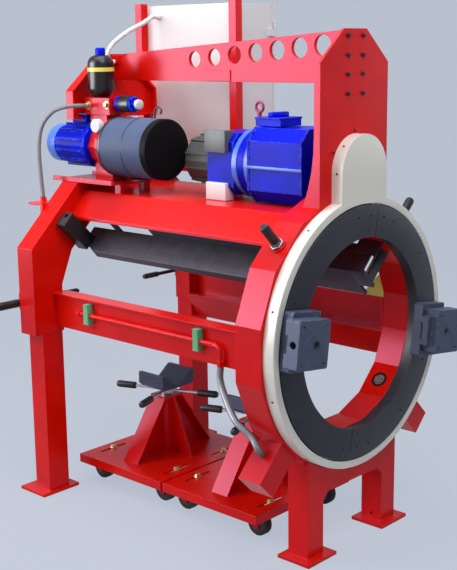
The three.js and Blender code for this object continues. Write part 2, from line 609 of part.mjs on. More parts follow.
function mainBeam() {
  const { top, topHalf, low, lowHalf, bottom, sheet, ribs, ribThick, ribIn } = BEAM;
  const from = HOUSING.rear + SEAT_GAP;
  const to = ARCH.front - SEAT_GAP;
  const skin = alongY(outline([
    [-lowHalf, bottom], [-lowHalf + sheet, bottom], [-lowHalf + sheet, low], [-topHalf + sheet / 2, top - sheet],
    [topHalf - sheet / 2, top - sheet], [lowHalf - sheet, low], [lowHalf - sheet, bottom], [lowHalf, bottom],
    [lowHalf, low], [topHalf, top], [-topHalf, top], [-lowHalf, low],
  ]), from, to);
  const ribLow = (low + bottom) / 2;
  const rib = outline([
    [-lowHalf + ribIn, ribLow], [lowHalf - ribIn, ribLow], [lowHalf - ribIn, low], [topHalf - ribIn, top - ribIn],
    [-topHalf + ribIn, top - ribIn], [-lowHalf + ribIn, low],
  ]);
  return joined(skin, Array.from({ length: ribs }, (_, i) => {
    const y = from + ((to - from - ribThick) * i) / (ribs - 1);
    return alongY(rib, y, y + ribThick);
  }));
}

function railLeft() {
  const { outer, inner, bottom, top, ledge, ledgeHigh, wall, plate } = RAIL;
  const from = HOUSING.rear + SEAT_GAP;
  const to = ARCH.front - SEAT_GAP;
  const section = alongY(outline([
    [-outer, bottom], [-inner, bottom], [-inner, bottom + wall], [-outer + wall, bottom + wall],
    [-outer + wall, top - ledgeHigh], [-inner, top - ledgeHigh], [-inner, top], [-outer - ledge, top],
    [-outer - ledge, top - ledgeHigh], [-outer, top - ledgeHigh],
  ]), from, to);
  const plates = [[from, from + plate], [to - plate, to]].map(([y0, y1]) =>
    box(-outer + LAP, -inner, y0, y1, bottom + LAP, top - LAP));
  return joined(section, plates);
}

function railRight() {
  const { inner, bottom } = RAIL;
  const low = bottom - SKIRT.drop;
  const skirt = alongY(outline([
    [inner + SKIRT.reach, low], [inner + SKIRT.reach + SKIRT.thick, low],
    [inner + SKIRT.thick * 2, bottom + SKIRT.thick], [inner, bottom + SKIRT.thick], [inner, bottom],
  ]), HOUSING.rear + SEAT_GAP, ARCH.front - SEAT_GAP);
  return joined(mirroredX(railLeft()), skirt);
}

function columnPlate() {
  const { half, top, topHalf, shoulder, thick, flange, flareDeep, shaftHole, rear } = COLUMN;
  const front = HOUSING.front;
  const bottom = AXIS_HEIGHT;
  const face = alongY(outline([
    [-half, bottom], [half, bottom], [half, shoulder], [topHalf, top], [-topHalf, top], [-half, shoulder],
  ]), front, rear);
  const low = AXIS_HEIGHT + HOUSING.outer * Math.cos(EIGHTH_TURN / 2);
  const high = AXIS_HEIGHT + COLUMN.flareRise;
  const lip = rear + flange;
  const flare = FLARE_SHARES.map(([out, down]) => [lip + flareDeep * out, high + (low - high) * down]);
  const side = [
    [front, bottom], [lip + flareDeep, bottom], [lip + flareDeep, low], ...flare.reverse(), [lip, high],
    [lip, shoulder - flange], [rear, shoulder], [front, shoulder],
  ];
  const flanges = SIDES.map((s) => alongX(outline(side), s > 0 ? half - thick : -half, s > 0 ? half : -half + thick));
  const seat = alongY(outline(polygon(HOUSING.sides, HOUSING.outer + SEAT_GAP)), front - OVERRUN, HOUSING.rear + OVERRUN);
  const shaft = rodY(shaftHole, front - OVERRUN, rear + OVERRUN, 0, PINION_HEIGHT);
  return cut(joined(face, flanges), seat, shaft);
}

function archBar() {
  const b = BAR;
  const half = b.web / 2;
  const web = alongX(outline([
    [b.front, b.bottom], [b.rear, b.bottom], [b.rear, b.bottom + b.rearHigh], [b.front, b.bottom + b.frontHigh],
  ]), -half, half);
  const holes = Array.from({ length: b.holes }, (_, i) => {
    const share = i / (b.holes - 1);
    const radius = b.holeFront + (b.holeRear - b.holeFront) * share;
    const y = b.front + b.firstHole + (b.rear - b.front - b.firstHole - b.lastHole) * share;
    const z = b.bottom + b.firstHoleHigh + (b.lastHoleHigh - b.firstHoleHigh) * share;
    return rodX(radius, -b.web, b.web, y, z, MIDDLE_ROUND);
  });
  const plateLow = b.bottom - b.plateDrop;
  const frontPlate = box(-b.plateHalf, b.plateHalf, b.front, b.front + b.plateThick, plateLow, b.bottom + b.plateHigh);
  const rearPlate = box(-b.rearHalf, b.rearHalf, b.rear - b.plateThick, b.rear, b.bottom,
    b.bottom + b.rearHigh - b.rearTopClear);
  const tabY = b.rear - b.tabFromRear;
  const tab = box(-half - b.tabThick, 0, tabY, tabY + b.tabLong, b.bottom + b.tabLow, b.bottom + b.tabHigh);
  const gland = rodX(b.gland, -half - b.glandLong, 0, b.rear - b.glandFromRear, b.bottom + b.glandHigh, HEXAGON);
  return joined(cut(web, holes), frontPlate, rearPlate, tab, gland);
}

function rearColumn() {
  const { half, bottom, top, sideHigh, topHalf, plate, lip, lipThick, stem, stemIn } = HEAD;
  const side = bottom + sideHigh;
  const front = ARCH.rear - plate;
  const shape = (inset) => outline([
    [-half + inset, bottom + inset], [half - inset, bottom + inset], [half - inset, side - inset / 2],
    [topHalf - inset / 2, top - inset], [-topHalf + inset / 2, top - inset], [-half + inset, side - inset / 2],
  ]);
  const head = cut(
    alongY(shape(0), front - lip, ARCH.rear),
    alongY(shape(lipThick), front - lip - OVERRUN, front));
  const clear = box(-BAR.rearHalf - BAR.headClear, BAR.rearHalf + BAR.headClear, front - lip - OVERRUN, front,
    BAR.bottom - BAR.headClear, top + OVERRUN);
  const base = ARCH.top + SEAT_GAP;
  const stemFront = ARCH.front + stemIn;
  const tube = box(-stem, stem, stemFront, ARCH.rear, base, bottom + LAP);
  const bore = box(-stem + PLATE, stem - PLATE, stemFront + PLATE, ARCH.rear - PLATE, base - OVERRUN, bottom - PLATE);
  return joined(cut(head, clear), cut(tube, bore));
}

// Gearmotor

// A box section with cut corners about the pinion axis; the top may be higher than the bottom.
function cornerBox(half, up, corner) {
  const z = PINION_HEIGHT;
  return outline([
    [-half, z - half + corner], [-half + corner, z - half], [half - corner, z - half], [half, z - half + corner],
    [half, z + up - corner], [half - corner, z + up], [-half + corner, z + up], [-half, z + up - corner],
  ]);
}

function gearUnit() {
  const d = DRIVE;
  const z = PINION_HEIGHT;
  const neck = rodY(d.neck, BAR.front, d.unitFront + LAP, 0, z);
  const foot = rodY(d.neck + d.seamOut * 2, BAR.front, BAR.front + d.seam, 0, z);
  const body = alongY(cornerBox(d.unitHalf, d.unitTop, d.corner), d.unitFront, d.unitRear);
  const seams = [d.unitFront, d.unitRear - d.seam].map((y) =>
    alongY(cornerBox(d.unitHalf + d.seamOut, d.unitTop + d.seamOut, d.corner), y, y + d.seam));
  const band = box(-d.unitHalf - d.seamOut, d.unitHalf + d.seamOut, d.unitFront, d.unitRear, z - d.seam / 2,
    z + d.seam / 2);
  const flange = rodY(d.flange, d.unitRear - LAP, d.flangeRear, 0, z, ROUND / 2);
  const bore = rodY(d.shaft + d.boreClear * 2, BAR.front - OVERRUN, d.shaftRear + OVERRUN, 0, z);
  return cut(joined(neck, foot, body, seams, band, flange), bore);
}

function driveMotor() {
  const from = DRIVE.flangeRear + SEAT_GAP;
  return alongY(cornerBox(DRIVE.blockHalf, DRIVE.blockHalf, DRIVE.blockCorner), from, DRIVE.blockRear);
}

// Ribs stand out of a round casing along its length.
function ribbedCasing(radius, from, to, ribs, high, wide, x, z) {
  const blades = Array.from({ length: ribs }, (_, i) => {
    const angle = ((i + 0.5) / ribs) * 360;
    return box(radius - high, radius + high, from + high, to, -wide / 2, wide / 2).rotate([0, angle, 0])
      .translate([x, 0, z]);
  });
  return joined(rodY(radius, from, to, x, z), blades);
}

function motorCowl() {
  const d = DRIVE;
  const from = d.blockRear + SEAT_GAP;
  const bell = rodY(d.bell, from, from + d.bellLong, 0, PINION_HEIGHT);
  const casing = ribbedCasing(d.cowl, from, from + d.bellLong + d.cowlLong, d.ribs, d.ribHigh, d.ribWide, 0,
    PINION_HEIGHT);
  return joined(bell, casing);
}

function terminalBox() {
  const { boxHalf, boxBack, boxLong, boxHigh, boxOut, lid } = DRIVE;
  const low = PINION_HEIGHT + DRIVE.unitTop + DRIVE.seamOut + SEAT_GAP;
  const front = DRIVE.unitRear - boxBack;
  const rear = front + boxLong;
  const top = low + boxHigh;
  const body = box(-boxHalf, boxHalf, front, rear, low, top - lid);
  const cover = box(-boxHalf - boxOut, boxHalf + boxOut, front - boxOut, rear + boxOut, top - lid - LAP, top);
  return joined(body, cover);
}

// Power pack

function pumpTray() {
  const p = PACK;
  const front = ARCH.front - p.trayFront;
  const rear = ARCH.front + p.trayRear;
  const left = p.x - p.trayLeft;
  const right = p.x + p.trayRight;
  const plate = box(left, right, front, rear, p.base, p.base + p.trayThick);
  const lips = [[left, left + p.trayThick], [right - p.trayThick, right]].map(([x0, x1]) =>
    box(x0, x1, front, rear, p.base, p.base + p.trayLip));
  const legs = SIDES.map((side) => {
    const x = p.x + side * p.legSpread;
    return box(x - p.legHalf, x + p.legHalf, front + LAP, front + LAP + p.legLong, BEAM.top + SEAT_GAP, p.base + LAP);
  });
  return joined(plate, lips, legs);
}

function oilTank() {
  const { x, z, tank, tankFront, tankRear, bead } = PACK;
  const rear = tankRear - SEAT_GAP;
  return moved(turned([
    [0, tankFront], [tank - bead * 3, tankFront], [tank, tankFront + bead], [tank, rear], [0, rear],
  ], ROUND / 2), x, 0, z);
}

function manifoldBlock() {
  const p = PACK;
  const low = p.base + p.trayThick + SEAT_GAP;
  const neckLow = p.z + p.topLow;
  const topFront = ARCH.front - p.topFront;
  const topRear = ARCH.front + p.topRear;
  const disc = rodY(p.flange, p.tankRear, p.flangeRear, p.x, p.z, ROUND / 2);
  const body = rodY(p.bodyHalf + p.bodyOut, p.flangeRear - LAP, p.bodyRear, p.x, p.z, HEXAGON + 2);
  const foot = box(p.x - p.footHalf, p.x + p.footHalf, p.tankRear + LAP, p.bodyRear - LAP, low, p.z);
  const riser = box(p.x - p.riserHalf, p.x + p.riserHalf, p.flangeRear - LAP, p.bodyRear, p.z, neckLow + LAP);
  const neck = box(p.x - p.riserHalf, p.x + p.riserHalf, p.flangeRear, ARCH.front + p.neckRear, neckLow,
    p.z + p.capLow + LAP);
  const top = box(p.x - p.topHalf, p.x + p.topHalf, topFront, topRear, p.z + p.capLow, p.z + p.topHigh);
  const port = rodX(p.port, p.x - p.topHalf - p.portLong, p.x - p.topHalf + LAP, topRear - p.portIn,
    p.z + p.topHigh - p.portDown, HEXAGON);
  return joined(disc, body, foot, riser, neck, top, port);
}

function pumpMotor() {
  const p = PACK;
  const from = p.bodyRear + SEAT_GAP;
  const flangeRear = p.finFront;
  const bell = turned([
    [0, from], [p.bodyHalf, from], [p.motorFlange, from + p.bellStep], [p.motorFlange, flangeRear], [0, flangeRear],
  ], MIDDLE_ROUND);
  const body = ribbedCasing(p.motor, flangeRear - LAP, p.finRear, p.fins, p.finHigh, p.finWide, p.x, p.z);
  const cowlFront = p.finRear - LAP;
  const cowlRear = p.finRear + p.cowlLong;
  const cowl = turned([
    [0, cowlFront], [p.cowl, cowlFront], [p.cowl, cowlRear - p.cowlEdge], [p.cowl - p.cowlEdge, cowlRear],
    [0, cowlRear],
  ], MIDDLE_ROUND);
  return joined(moved(bell, p.x, 0, p.z), body, moved(cowl, p.x, 0, p.z));
}

function accumulator() {
  const b = BOTTLE;
  const base = PACK.z + PACK.topHigh + SEAT_GAP;
  const top = base + b.high;
  const [waist, slope] = BOTTLE_SHARES;
  const g = new THREE.LatheGeometry([
    [0, base], [b.bottomRadius, base], [b.bottomRadius + b.step, base + b.stepHigh], [b.radius, base + b.shoulder],
    [b.radius, top - b.shoulder], [b.radius * waist, top - b.shoulder * slope], [b.cap, top],
    [b.cap, top + b.capHigh - b.capEdge], [b.cap - b.capEdge, top + b.capHigh], [0, top + b.capHigh],
  ].map(([r, h]) => new THREE.Vector2(r, h)), MIDDLE_ROUND);
  g.rotateX(QUARTER_TURN);
  g.translate(PACK.x, ARCH.front - b.ahead, 0);
  return solid(g);
}

function valve() {
  const v = VALVE;
  const rear = ARCH.front - PACK.topFront - SEAT_GAP;
  const coilRear = rear - v.collarLong - v.step;
  const coil = coilRear - v.coilLong;
  const front = coil - v.plugLong - v.plugStep;
  return moved(turned([
    [0, rear], [v.collar, rear], [v.collar, coilRear + v.step], [v.radius, coilRear], [v.radius, coil + v.step],
    [v.radius - v.step, coil], [v.collar, coil], [v.collar, front + v.plugStep], [v.plug, front], [0, front],
  ], SMALL_ROUND), PACK.x, 0, PACK.z + PACK.topHigh - v.down);
}

// Cabinet

function cabinetFrame() {
  const { half, x, wall, frontY, rearY, top, railLow, railHigh, foot, footIn } = POST;
  const inside = half - wall;
  const post = (y, low) => cut(
    box(x - half, x + half, y - half, y + half, low, top),
    box(x - inside, x + inside, y - inside, y + inside, low + wall, top + OVERRUN));
  const base = BEAM.top + SEAT_GAP;
  const from = frontY + half - LAP;
  const to = rearY - half + LAP;
  const pad = box(BEAM.topHalf - foot * 2, BEAM.topHalf - footIn, frontY - foot, frontY + foot, base, base + PLATE);
  const rail = box(x - half, x + half, from, to, railLow, railLow + railHigh);
  const bore = (y0, y1) => box(x - inside, x + inside, y0, y1, railLow + wall, railLow + railHigh - wall);
  const windows = [frontY + half, rearY - half].map((y) => bore(y - wall * 2, y + wall * 2));
  const tube = cut(rail, bore(from, to));
  return cut(joined(post(frontY, base), pad, post(rearY, ARCH.top - POST.rearDrop), tube), windows);
}

function hingeHeights() {
  return [CABINET.bottom + CABINET.hingeFromEnd, CABINET.top - CABINET.hingeFromEnd];
}

function cabinetBody() {
  const c = CABINET;
  const { x, front, rear, bottom, top, opening, wall, lip } = c;
  const inset = wall + lip;
  const shell = box(x, opening, front, rear, bottom, top);
  const inside = box(x + wall, opening - wall, front + wall, rear - wall, bottom + wall, top - wall);
  const mouth = box(opening - wall * 2, opening + OVERRUN, front + inset, rear - inset, bottom + inset, top - inset);
  const panelX = x + wall + c.panelOff;
  const rim = c.panelRim;
  const panel = box(panelX, panelX + c.panel, front + rim, rear - rim, bottom + rim, top - rim);
  const studs = [front + c.studRim, rear - c.studRim].map((y) =>
    box(x + wall - LAP, panelX + LAP, y - c.studWide / 2, y + c.studWide / 2, bottom + c.studRim, top - c.studRim));
  const gland = rodX(c.gland, x - c.glandLong, x + wall, rear - c.glandAhead, top - c.glandDown, HEXAGON);
  const leaves = hingeHeights().map((z) => joined(
    box(opening - c.leafLong, c.hingeX, c.hingeY - c.pin, c.hingeY + c.pin, z - c.hingeLong, z),
    box(opening - c.leafLong, opening - c.doorGap, c.hingeY - c.pin, front + LAP, z - c.hingeLong, z),
    rodZ(c.hinge, z - c.hingeLong, z, c.hingeX, c.hingeY, SMALL_ROUND)));
  const bores = hingeHeights().map((z) =>
    rodZ(c.pin + c.hingeClear, z - c.hingeLong - OVERRUN, z + OVERRUN, c.hingeX, c.hingeY, SMALL_ROUND));
  return cut(joined(cut(shell, inside, mouth), panel, studs, gland, leaves), bores);
}

function cabinetDoor() {
  const c = CABINET;
  const { front, rear, bottom, top, outer } = c;
  const inner = c.opening + c.doorGap;
  const slab = box(inner, outer, front, rear, bottom, top);
  const recess = box(inner - OVERRUN, outer - PLATE / 2, front + PLATE, rear - PLATE, bottom + PLATE, top - PLATE);
  const stile = box(inner, outer - LAP, rear - PLATE - c.stile, rear - PLATE, LATCH.z - LATCH.long,
    LATCH.z + LATCH.long);
  const knuckles = hingeHeights().map((z) => joined(
    rodZ(c.hinge, z + c.hingeClear, z + c.hingeLong, c.hingeX, c.hingeY, SMALL_ROUND),
    rodZ(c.pin, z - c.hingeLong, z + LAP, c.hingeX, c.hingeY, SMALL_ROUND),
    box(c.hingeX, outer, c.hingeY - c.pin, front + LAP, z + c.hingeClear, z + c.hingeLong)));
  const bore = rodX(LATCH.shaft + LATCH.clear, inner - OVERRUN, outer + OVERRUN, LATCH.y, LATCH.z, SMALL_ROUND);
  return cut(joined(cut(slab, recess), stile, knuckles), bore);
}

function doorHandle() {
  const l = LATCH;
  const face = CABINET.outer + SEAT_GAP;
  const leverFrom = face + l.reach;
  const base = rodX(l.base, face, face + l.thick, l.y, l.z);
  const neck = rodX(l.neck, face + LAP, leverFrom + l.thick, l.y, l.z, SMALL_ROUND);
  const lever = box(leverFrom, leverFrom + l.thick, l.y - l.width / 2, l.y + l.width / 2, l.z - l.long,
    l.z + l.width / 2);
  const shaft = rodX(l.shaft, CABINET.opening + CABINET.doorGap, face + LAP, l.y, l.z, SMALL_ROUND);
  return joined(base, neck, lever, shaft);
}

// Tool slides, made along +X from the ring axis and turned into place

function toolSaddle(angle) {
  const t = TOOL;
  const out = t.saddleIn + t.saddleLong;
  const block = radialChamferBox(t.saddleIn, out, t.saddleHigh / 2, -t.saddleThick, -SEAT_GAP);
  const rib = box(t.saddleIn + t.ribIn, out - t.ribIn, -t.saddleThick - t.ribDeep, -t.saddleThick + LAP,
    AXIS_HEIGHT - t.rib / 2, AXIS_HEIGHT + t.rib / 2);
  return aboutAxis(joined(block, rib), angle);
}

// A block whose four corners seen from the front are cut off at 45 degrees.
function radialChamferBox(from, to, half, y0, y1) {
  const z = AXIS_HEIGHT;
  const c = TOOL.chamfer;
  return alongY(outline([
    [from + c, z - half], [to - c, z - half], [to, z - half + c], [to, z + half - c], [to - c, z + half],
    [from + c, z + half], [from, z + half - c], [from, z - half + c],
  ]), y0, y1);
}

function toolSlide(angle) {
  const t = TOOL;
  const out = t.slideIn + t.slideLong;
  const rear = -t.saddleThick - SEAT_GAP;
  const front = rear - t.slideThick;
  const body = radialChamferBox(t.slideIn + t.step, out, t.slideHigh / 2, front, rear);
  const nose = radialChamferBox(t.slideIn, t.slideIn + t.step * 2, t.nose / 2, front + t.stepDeep, rear);
  const groove = box(t.slideIn - OVERRUN, out + OVERRUN, -t.saddleThick - t.ribDeep - t.ribGap, rear + OVERRUN,
    AXIS_HEIGHT - t.rib / 2 - t.ribGap, AXIS_HEIGHT + t.rib / 2 + t.ribGap);
  const faceHole = rodY(t.hole, front - OVERRUN, front + t.holeDeep, (t.slideIn + out) / 2, AXIS_HEIGHT);
  const endHole = rodX(t.endHole, out - t.holeDeep, out + OVERRUN, (front + rear - t.ribDeep) / 2, AXIS_HEIGHT);
  return aboutAxis(cut(joined(body, nose), groove, faceHole, endHole), angle);
}

// Upper clamps

// The shoe of one side, set in from the outermost place by the given distance.
function clampShoe(inward) {
  const s = SHOE;
  const r0 = s.radius - inward;
  const r1 = r0 + s.thick;
  const flat = (points, from, to) => alongX(outline(points.map(([y, t]) => [y, AXIS_HEIGHT + t])), from, to);
  const plate = flat([
    [s.front, -s.half], [s.rear - s.chamferLong, -s.half], [s.rear, s.chamferTo], [s.rear, s.half], [s.front, s.half],
  ], r0, r1);
  const frontTongue = box(r0, r1, s.tongueY, s.front + LAP, AXIS_HEIGHT - s.tongueHalf, AXIS_HEIGHT + s.tongueHalf);
  const rearTongue = box(r0, r1, s.rear - LAP, s.rear + s.rearTongue, AXIS_HEIGHT - s.rearTongueHalf,
    AXIS_HEIGHT + s.rearTongueHalf);
  const edgeFrom = s.front + s.edgeIn;
  const edges = [
    box(r0, r1 + s.edge, edgeFrom, s.rear - s.chamferLong - s.edgeEnd, AXIS_HEIGHT - s.half,
      AXIS_HEIGHT - s.half + s.edgeThick),
    box(r0, r1 + s.edge, edgeFrom, s.rear, AXIS_HEIGHT + s.half - s.edgeThick, AXIS_HEIGHT + s.half),
  ];
  const tabSpan = s.rear - s.lastTab - s.front - s.firstTab;
  const tabs = Array.from({ length: s.tabs }, (_, i) => {
    const y = s.front + s.firstTab + (tabSpan * i) / (s.tabs - 1);
    return box(r1 - LAP, r1 + s.tabHigh, y, y + s.tabLong, AXIS_HEIGHT + s.half - s.tabThick, AXIS_HEIGHT + s.half);
  });
  const tubeTop = r1 + s.tubeHigh;
  const tube = cut(
    rodX(s.tube, r1 - LAP, tubeTop, SCREW.y, AXIS_HEIGHT),
    rodX(SCREW.radius + SCREW.clear, r1 + s.boreFloor, tubeTop + OVERRUN, SCREW.y, AXIS_HEIGHT, SMALL_ROUND));
  const rod = rodX(s.rod, r1 - LAP, r1 + s.rodHigh, s.rodY, AXIS_HEIGHT, SMALL_ROUND);
  return aboutAxis(joined(plate, frontTongue, rearTongue, edges, tabs, tube, rod), UPPER_RIGHT);
}

function shoeGuide() {
  const g = GUIDE;
  const block = box(g.inner, g.outer, ARCH.front - g.ahead, ARCH.front - SEAT_GAP, AXIS_HEIGHT - g.low,
    AXIS_HEIGHT + g.high);
  const bore = rodX(SHOE.rod + RUNNING_FIT, g.inner - OVERRUN, g.outer + OVERRUN, SHOE.rodY, AXIS_HEIGHT, SMALL_ROUND);
  return aboutAxis(cut(block, bore), UPPER_RIGHT);
}

// The screw ends just above the shoe when the shoe is at its outermost place.
function frontSpindle(inward, outward) {
  const s = SCREW;
  const seat = HOUSING.outer + HOUSING.bossHigh + SEAT_GAP;
  const gripFrom = seat + s.collarLong + s.gripOff;
  const bottom = SHOE.radius + SHOE.thick - inward + outward + s.footClear;
  const screw = rodX(s.radius, bottom, gripFrom + s.gripIn, s.y, AXIS_HEIGHT, SMALL_ROUND);
  const collar = rodX(s.collar, seat, seat + s.collarLong, s.y, AXIS_HEIGHT, HEXAGON);
  return aboutAxis(joined(screw, collar, gripX(s.grip, gripFrom, s.gripLong, s.y, AXIS_HEIGHT)), UPPER_RIGHT);
}

// A turned grip with rounded ends along X.
function gripX(radius, from, long, y, z) {
  const [end, rise, fall] = GRIP_SHARES;
  return turned([
    [0, 0], [radius * end, 0], [radius, long * rise], [radius, long * fall], [radius * end, long], [0, long],
  ], GRIP_ROUND).rotate([0, 0, -90]).translate([from, y, z]);
}

function rearSpindle() {
  const s = SPINDLE;
  const sleeve = gripX(s.sleeve, s.tip, s.sleeveLong, s.y, AXIS_HEIGHT);
  const rod = rodX(s.rod, s.tip + s.sleeveLong / 2, s.gripIn + s.gripLong / 2, s.y, AXIS_HEIGHT, SMALL_ROUND);
  const collar = rodX(s.collar, s.gripIn + s.collarIn - s.collarLong, s.gripIn + s.collarIn, s.y, AXIS_HEIGHT, HEXAGON);
  return joined(sleeve, rod, collar, gripX(s.grip, s.gripIn, s.gripLong, s.y, AXIS_HEIGHT));
}

// Lower clamps

function lowerCylinder(angle) {
  const body = box(RAM.foot, RAM.end, RAM.front, RAM.rear, AXIS_HEIGHT - RAM.half, AXIS_HEIGHT + RAM.half);
  const bore = rodX(RAM.rod + RUNNING_FIT, RAM.foot - OVERRUN, RAM.end - RAM.cap, RAM.middle, AXIS_HEIGHT);
  return aboutAxis(cut(body, bore), angle);
}

function lowerRod(angle) {
  return radialRod(RAM.rod, RAM.rodIn, RAM.end - RAM.cap - RAM.rodEnd, RAM.middle, angle, MIDDLE_ROUND);
}

// Oil line and hoses

function route(points) {
  return new THREE.CatmullRomCurve3(points.map(([x, y, z]) => new THREE.Vector3(x, y, z)), false, "catmullrom");
}

// A round bar swept along a curve.
function swept(curve, radius, sides, steps) {
  const circle = new THREE.Shape();
  circle.absarc(0, 0, radius, 0, FULL_TURN, false);
  return solid(new THREE.ExtrudeGeometry(circle, { steps, extrudePath: curve, curveSegments: sides }));
}

function oilPipe() {
  const p = PIPE;
  const rear = ARCH.front - p.rearGap;
  const straight = rodY(p.radius, p.bendY, rear, p.x, p.z, SMALL_ROUND);
  const path = new THREE.CatmullRomCurve3(Array.from({ length: p.bendSteps + 1 }, (_, i) => {
    const a = (QUARTER_TURN * i) / p.bendSteps;
    return new THREE.Vector3(p.x, p.bendY - p.bend * Math.sin(a), p.z - p.bend * (1 - Math.cos(a)));
  }));
  const elbow = swept(path, p.radius, SMALL_ROUND / 2, p.bendSteps);
  const y = p.bendY - p.bend;
  const down = rodZ(p.radius, p.end, p.z - p.bend, p.x, y, SMALL_ROUND);
  const nut = rodZ(p.nut, p.end - p.nutLong, p.end + LAP, p.x, y, HEXAGON);
  const plug = rodY(p.nut, rear - LAP, rear + p.nutLong, p.x, p.z, HEXAGON);
  return joined(straight, elbow, down, nut, plug);
}

function pipeClamp(y) {
  const c = CLIP;
  const x1 = -RAIL.outer - SEAT_GAP;
  const x0 = x1 - c.off;
  const low = PIPE.z - c.below;
  const high = PIPE.z + c.above;
  const body = box(x0, x1, y - c.half, y + c.half, low, high);
  const bore = rodY(PIPE.radius + RUNNING_FIT, y - c.half - OVERRUN, y + c.half + OVERRUN, PIPE.x, PIPE.z);
  const plates = [low - c.plate, high].map((z) =>
    box(x0 - c.plateOut, x1, y - c.half - c.plateOut, y + c.half + c.plateOut, z, z + c.plate));
  return joined(cut(body, bore), plates);
}

// The route's points are places beside the pipe's end and, last, beside the lower left cylinder.
function hoseLower() {
  const top = PIPE.end - PIPE.nutLong - HOSE.gap;
  const x = PIPE.x;
  const y = PIPE.bendY - PIPE.bend;
  const r = (RAM.foot + RAM.end) / 2 - RAM.half / 2;
  const beside = (off) => [
    r * Math.cos(LOWER_LEFT) + off * Math.sin(LOWER_LEFT), RAM.middle,
    AXIS_HEIGHT + r * Math.sin(LOWER_LEFT) - off * Math.cos(LOWER_LEFT),
  ];
  return swept(route([
    [x, y, top], [x, y + 2, top - 52], [x - 14, y - 40, top - 118], [x - 40, y - 110, top - 176],
    [x - 32, y - 180, top - 224], beside(RAM.half + HOSE.radius * 3), beside(RAM.half + HOSE.gap),
  ]), HOSE.radius, HOSE.sides, HOSE.steps);
}

function hoseRear() {
  const x = PACK.x - PACK.topHalf - PACK.portLong - HOSE.gap;
  const y = ARCH.front + PACK.topRear - PACK.portIn;
  const z = PACK.z + PACK.topHigh - PACK.portDown;
  const end = BRACKET.z + BRACKET.fittingHigh + HOSE.gap;
  return swept(route([
    [x, y, z], [x - 34, y + 2, z + 1], [x - 80, y + 34, z - 2], [x - 112, y + 88, z - 24],
    [x - 136, y + 134, z - 84], [x - 144, y + 152, z - 176], [BRACKET.x - 4, BRACKET.y + 4, end + 90],
    [BRACKET.x, BRACKET.y, end],
  ]), CABLE_HOSE.radius, CABLE_HOSE.sides, CABLE_HOSE.steps);
}

function conduit() {
  const x = -BAR.web / 2 - BAR.glandLong - CONDUIT.gap;
  const y = BAR.rear - BAR.glandFromRear;
  const z = BAR.bottom + BAR.glandHigh;
  const endX = CABINET.x - CABINET.glandLong - CONDUIT.gap / 2;
  const endY = CABINET.rear - CABINET.glandAhead;
  const endZ = CABINET.top - CABINET.glandDown;
  return swept(route([
    [x, y, z], [x - 24, y, z + 3], [x - 36, y, z + 32], [x - 6, y - 2, z + 76], [x + 76, y - 6, z + 126],
    [endX - 84, endY + 2, endZ - 28], [endX - 28, endY, endZ], [endX, endY, endZ],
  ]), CONDUIT.radius, CONDUIT.sides, CONDUIT.steps);
}

// Trolleys

function trolleyDeck(y) {
  const t = TROLLEY;
  const low = t.deck - t.lip;
  const plate = box(-t.half, t.half, y - t.halfLong, y + t.halfLong, t.deck, t.top);
  const lips = SIDES.flatMap((s) => [
    sideBox(s, t.half - t.thick, t.half, y - t.halfLong, y + t.halfLong, low, t.top),
    box(-t.half, t.half, y + s * t.halfLong - (s > 0 ? t.thick : 0), y + s * t.halfLong + (s > 0 ? 0 : t.thick), low,
      t.top),
  ]);
  const corners = SIDES.flatMap((sx) => SIDES.map((sy) => [sx, sy]));
  const slots = corners.map(([sx, sy]) => deckSlot(sx * t.slotX, y + sy * t.slotY));
  const forks = corners.flatMap(([sx, sy]) => casterFork(sx, y + sy * t.casterY));
  return cut(joined(plate, lips, forks, tower(y)), slots, stemBore(y));
}

function deckSlot(x, y) {
  const t = TROLLEY;
  return box(x - t.slotLong / 2, x + t.slotLong / 2, y - t.slotWide / 2, y + t.slotWide / 2, t.deck - OVERRUN,
    t.top + OVERRUN);
}

function casterFork(side, y) {
  const t = TROLLEY;
  const top = t.deck + LAP;
  const low = top - t.forkHigh;
  const cheek = t.wheelWide / 2 + t.forkGap;
  const pinBore = turningBore(t.pin, HEXAGON);
  return SIDES.map((s) => {
    const x = side * t.casterX + s * (cheek + t.fork / 2);
    const plate = alongX(outline([
      [y + t.forkHalf, top], [y + t.forkHalf / 2, low], [y - t.forkHalf / 2, low], [y - t.forkHalf, top],
    ]), x - t.fork / 2, x + t.fork / 2);
    return cut(plate, rodX(pinBore, x - t.fork, x + t.fork, y, t.axle, HEXAGON));
  });
}

// A pyramid of crossed webs with sloping flanges round a central tube.
function tower(y) {
  const t = TROLLEY;
  const base = t.top - LAP;
  const head = t.head - t.cap;
  const top = head + LAP;
  const across = alongY(outline([[-t.baseHalf, base], [t.baseHalf, base], [t.topHalf, top], [-t.topHalf, top]]),
    y - t.web / 2, y + t.web / 2);
  const along = alongX(outline([
    [y - t.crossHalf, base], [y + t.crossHalf, base], [y + t.crossTop, top], [y - t.crossTop, top],
  ]), -t.web / 2, t.web / 2);
  const flange = alongY(outline([
    [t.baseHalf - t.flange, base], [t.baseHalf, base], [t.topHalf, top], [t.topHalf - t.flange, top],
  ]), y - t.flangeHalf, y + t.flangeHalf);
  const capPlate = box(-t.topHalf, t.topHalf, y - t.crossTop, y + t.crossTop, head, t.head);
  return joined(across, along, flange, mirroredX(flange), capPlate, rodZ(t.post, base, top, 0, y, SMALL_ROUND));
}

function stemBore(y) {
  return rodZ(TROLLEY.stem + RUNNING_FIT, TROLLEY.head - TROLLEY.boreLong, TROLLEY.head + OVERRUN, 0, y, SMALL_ROUND);
}

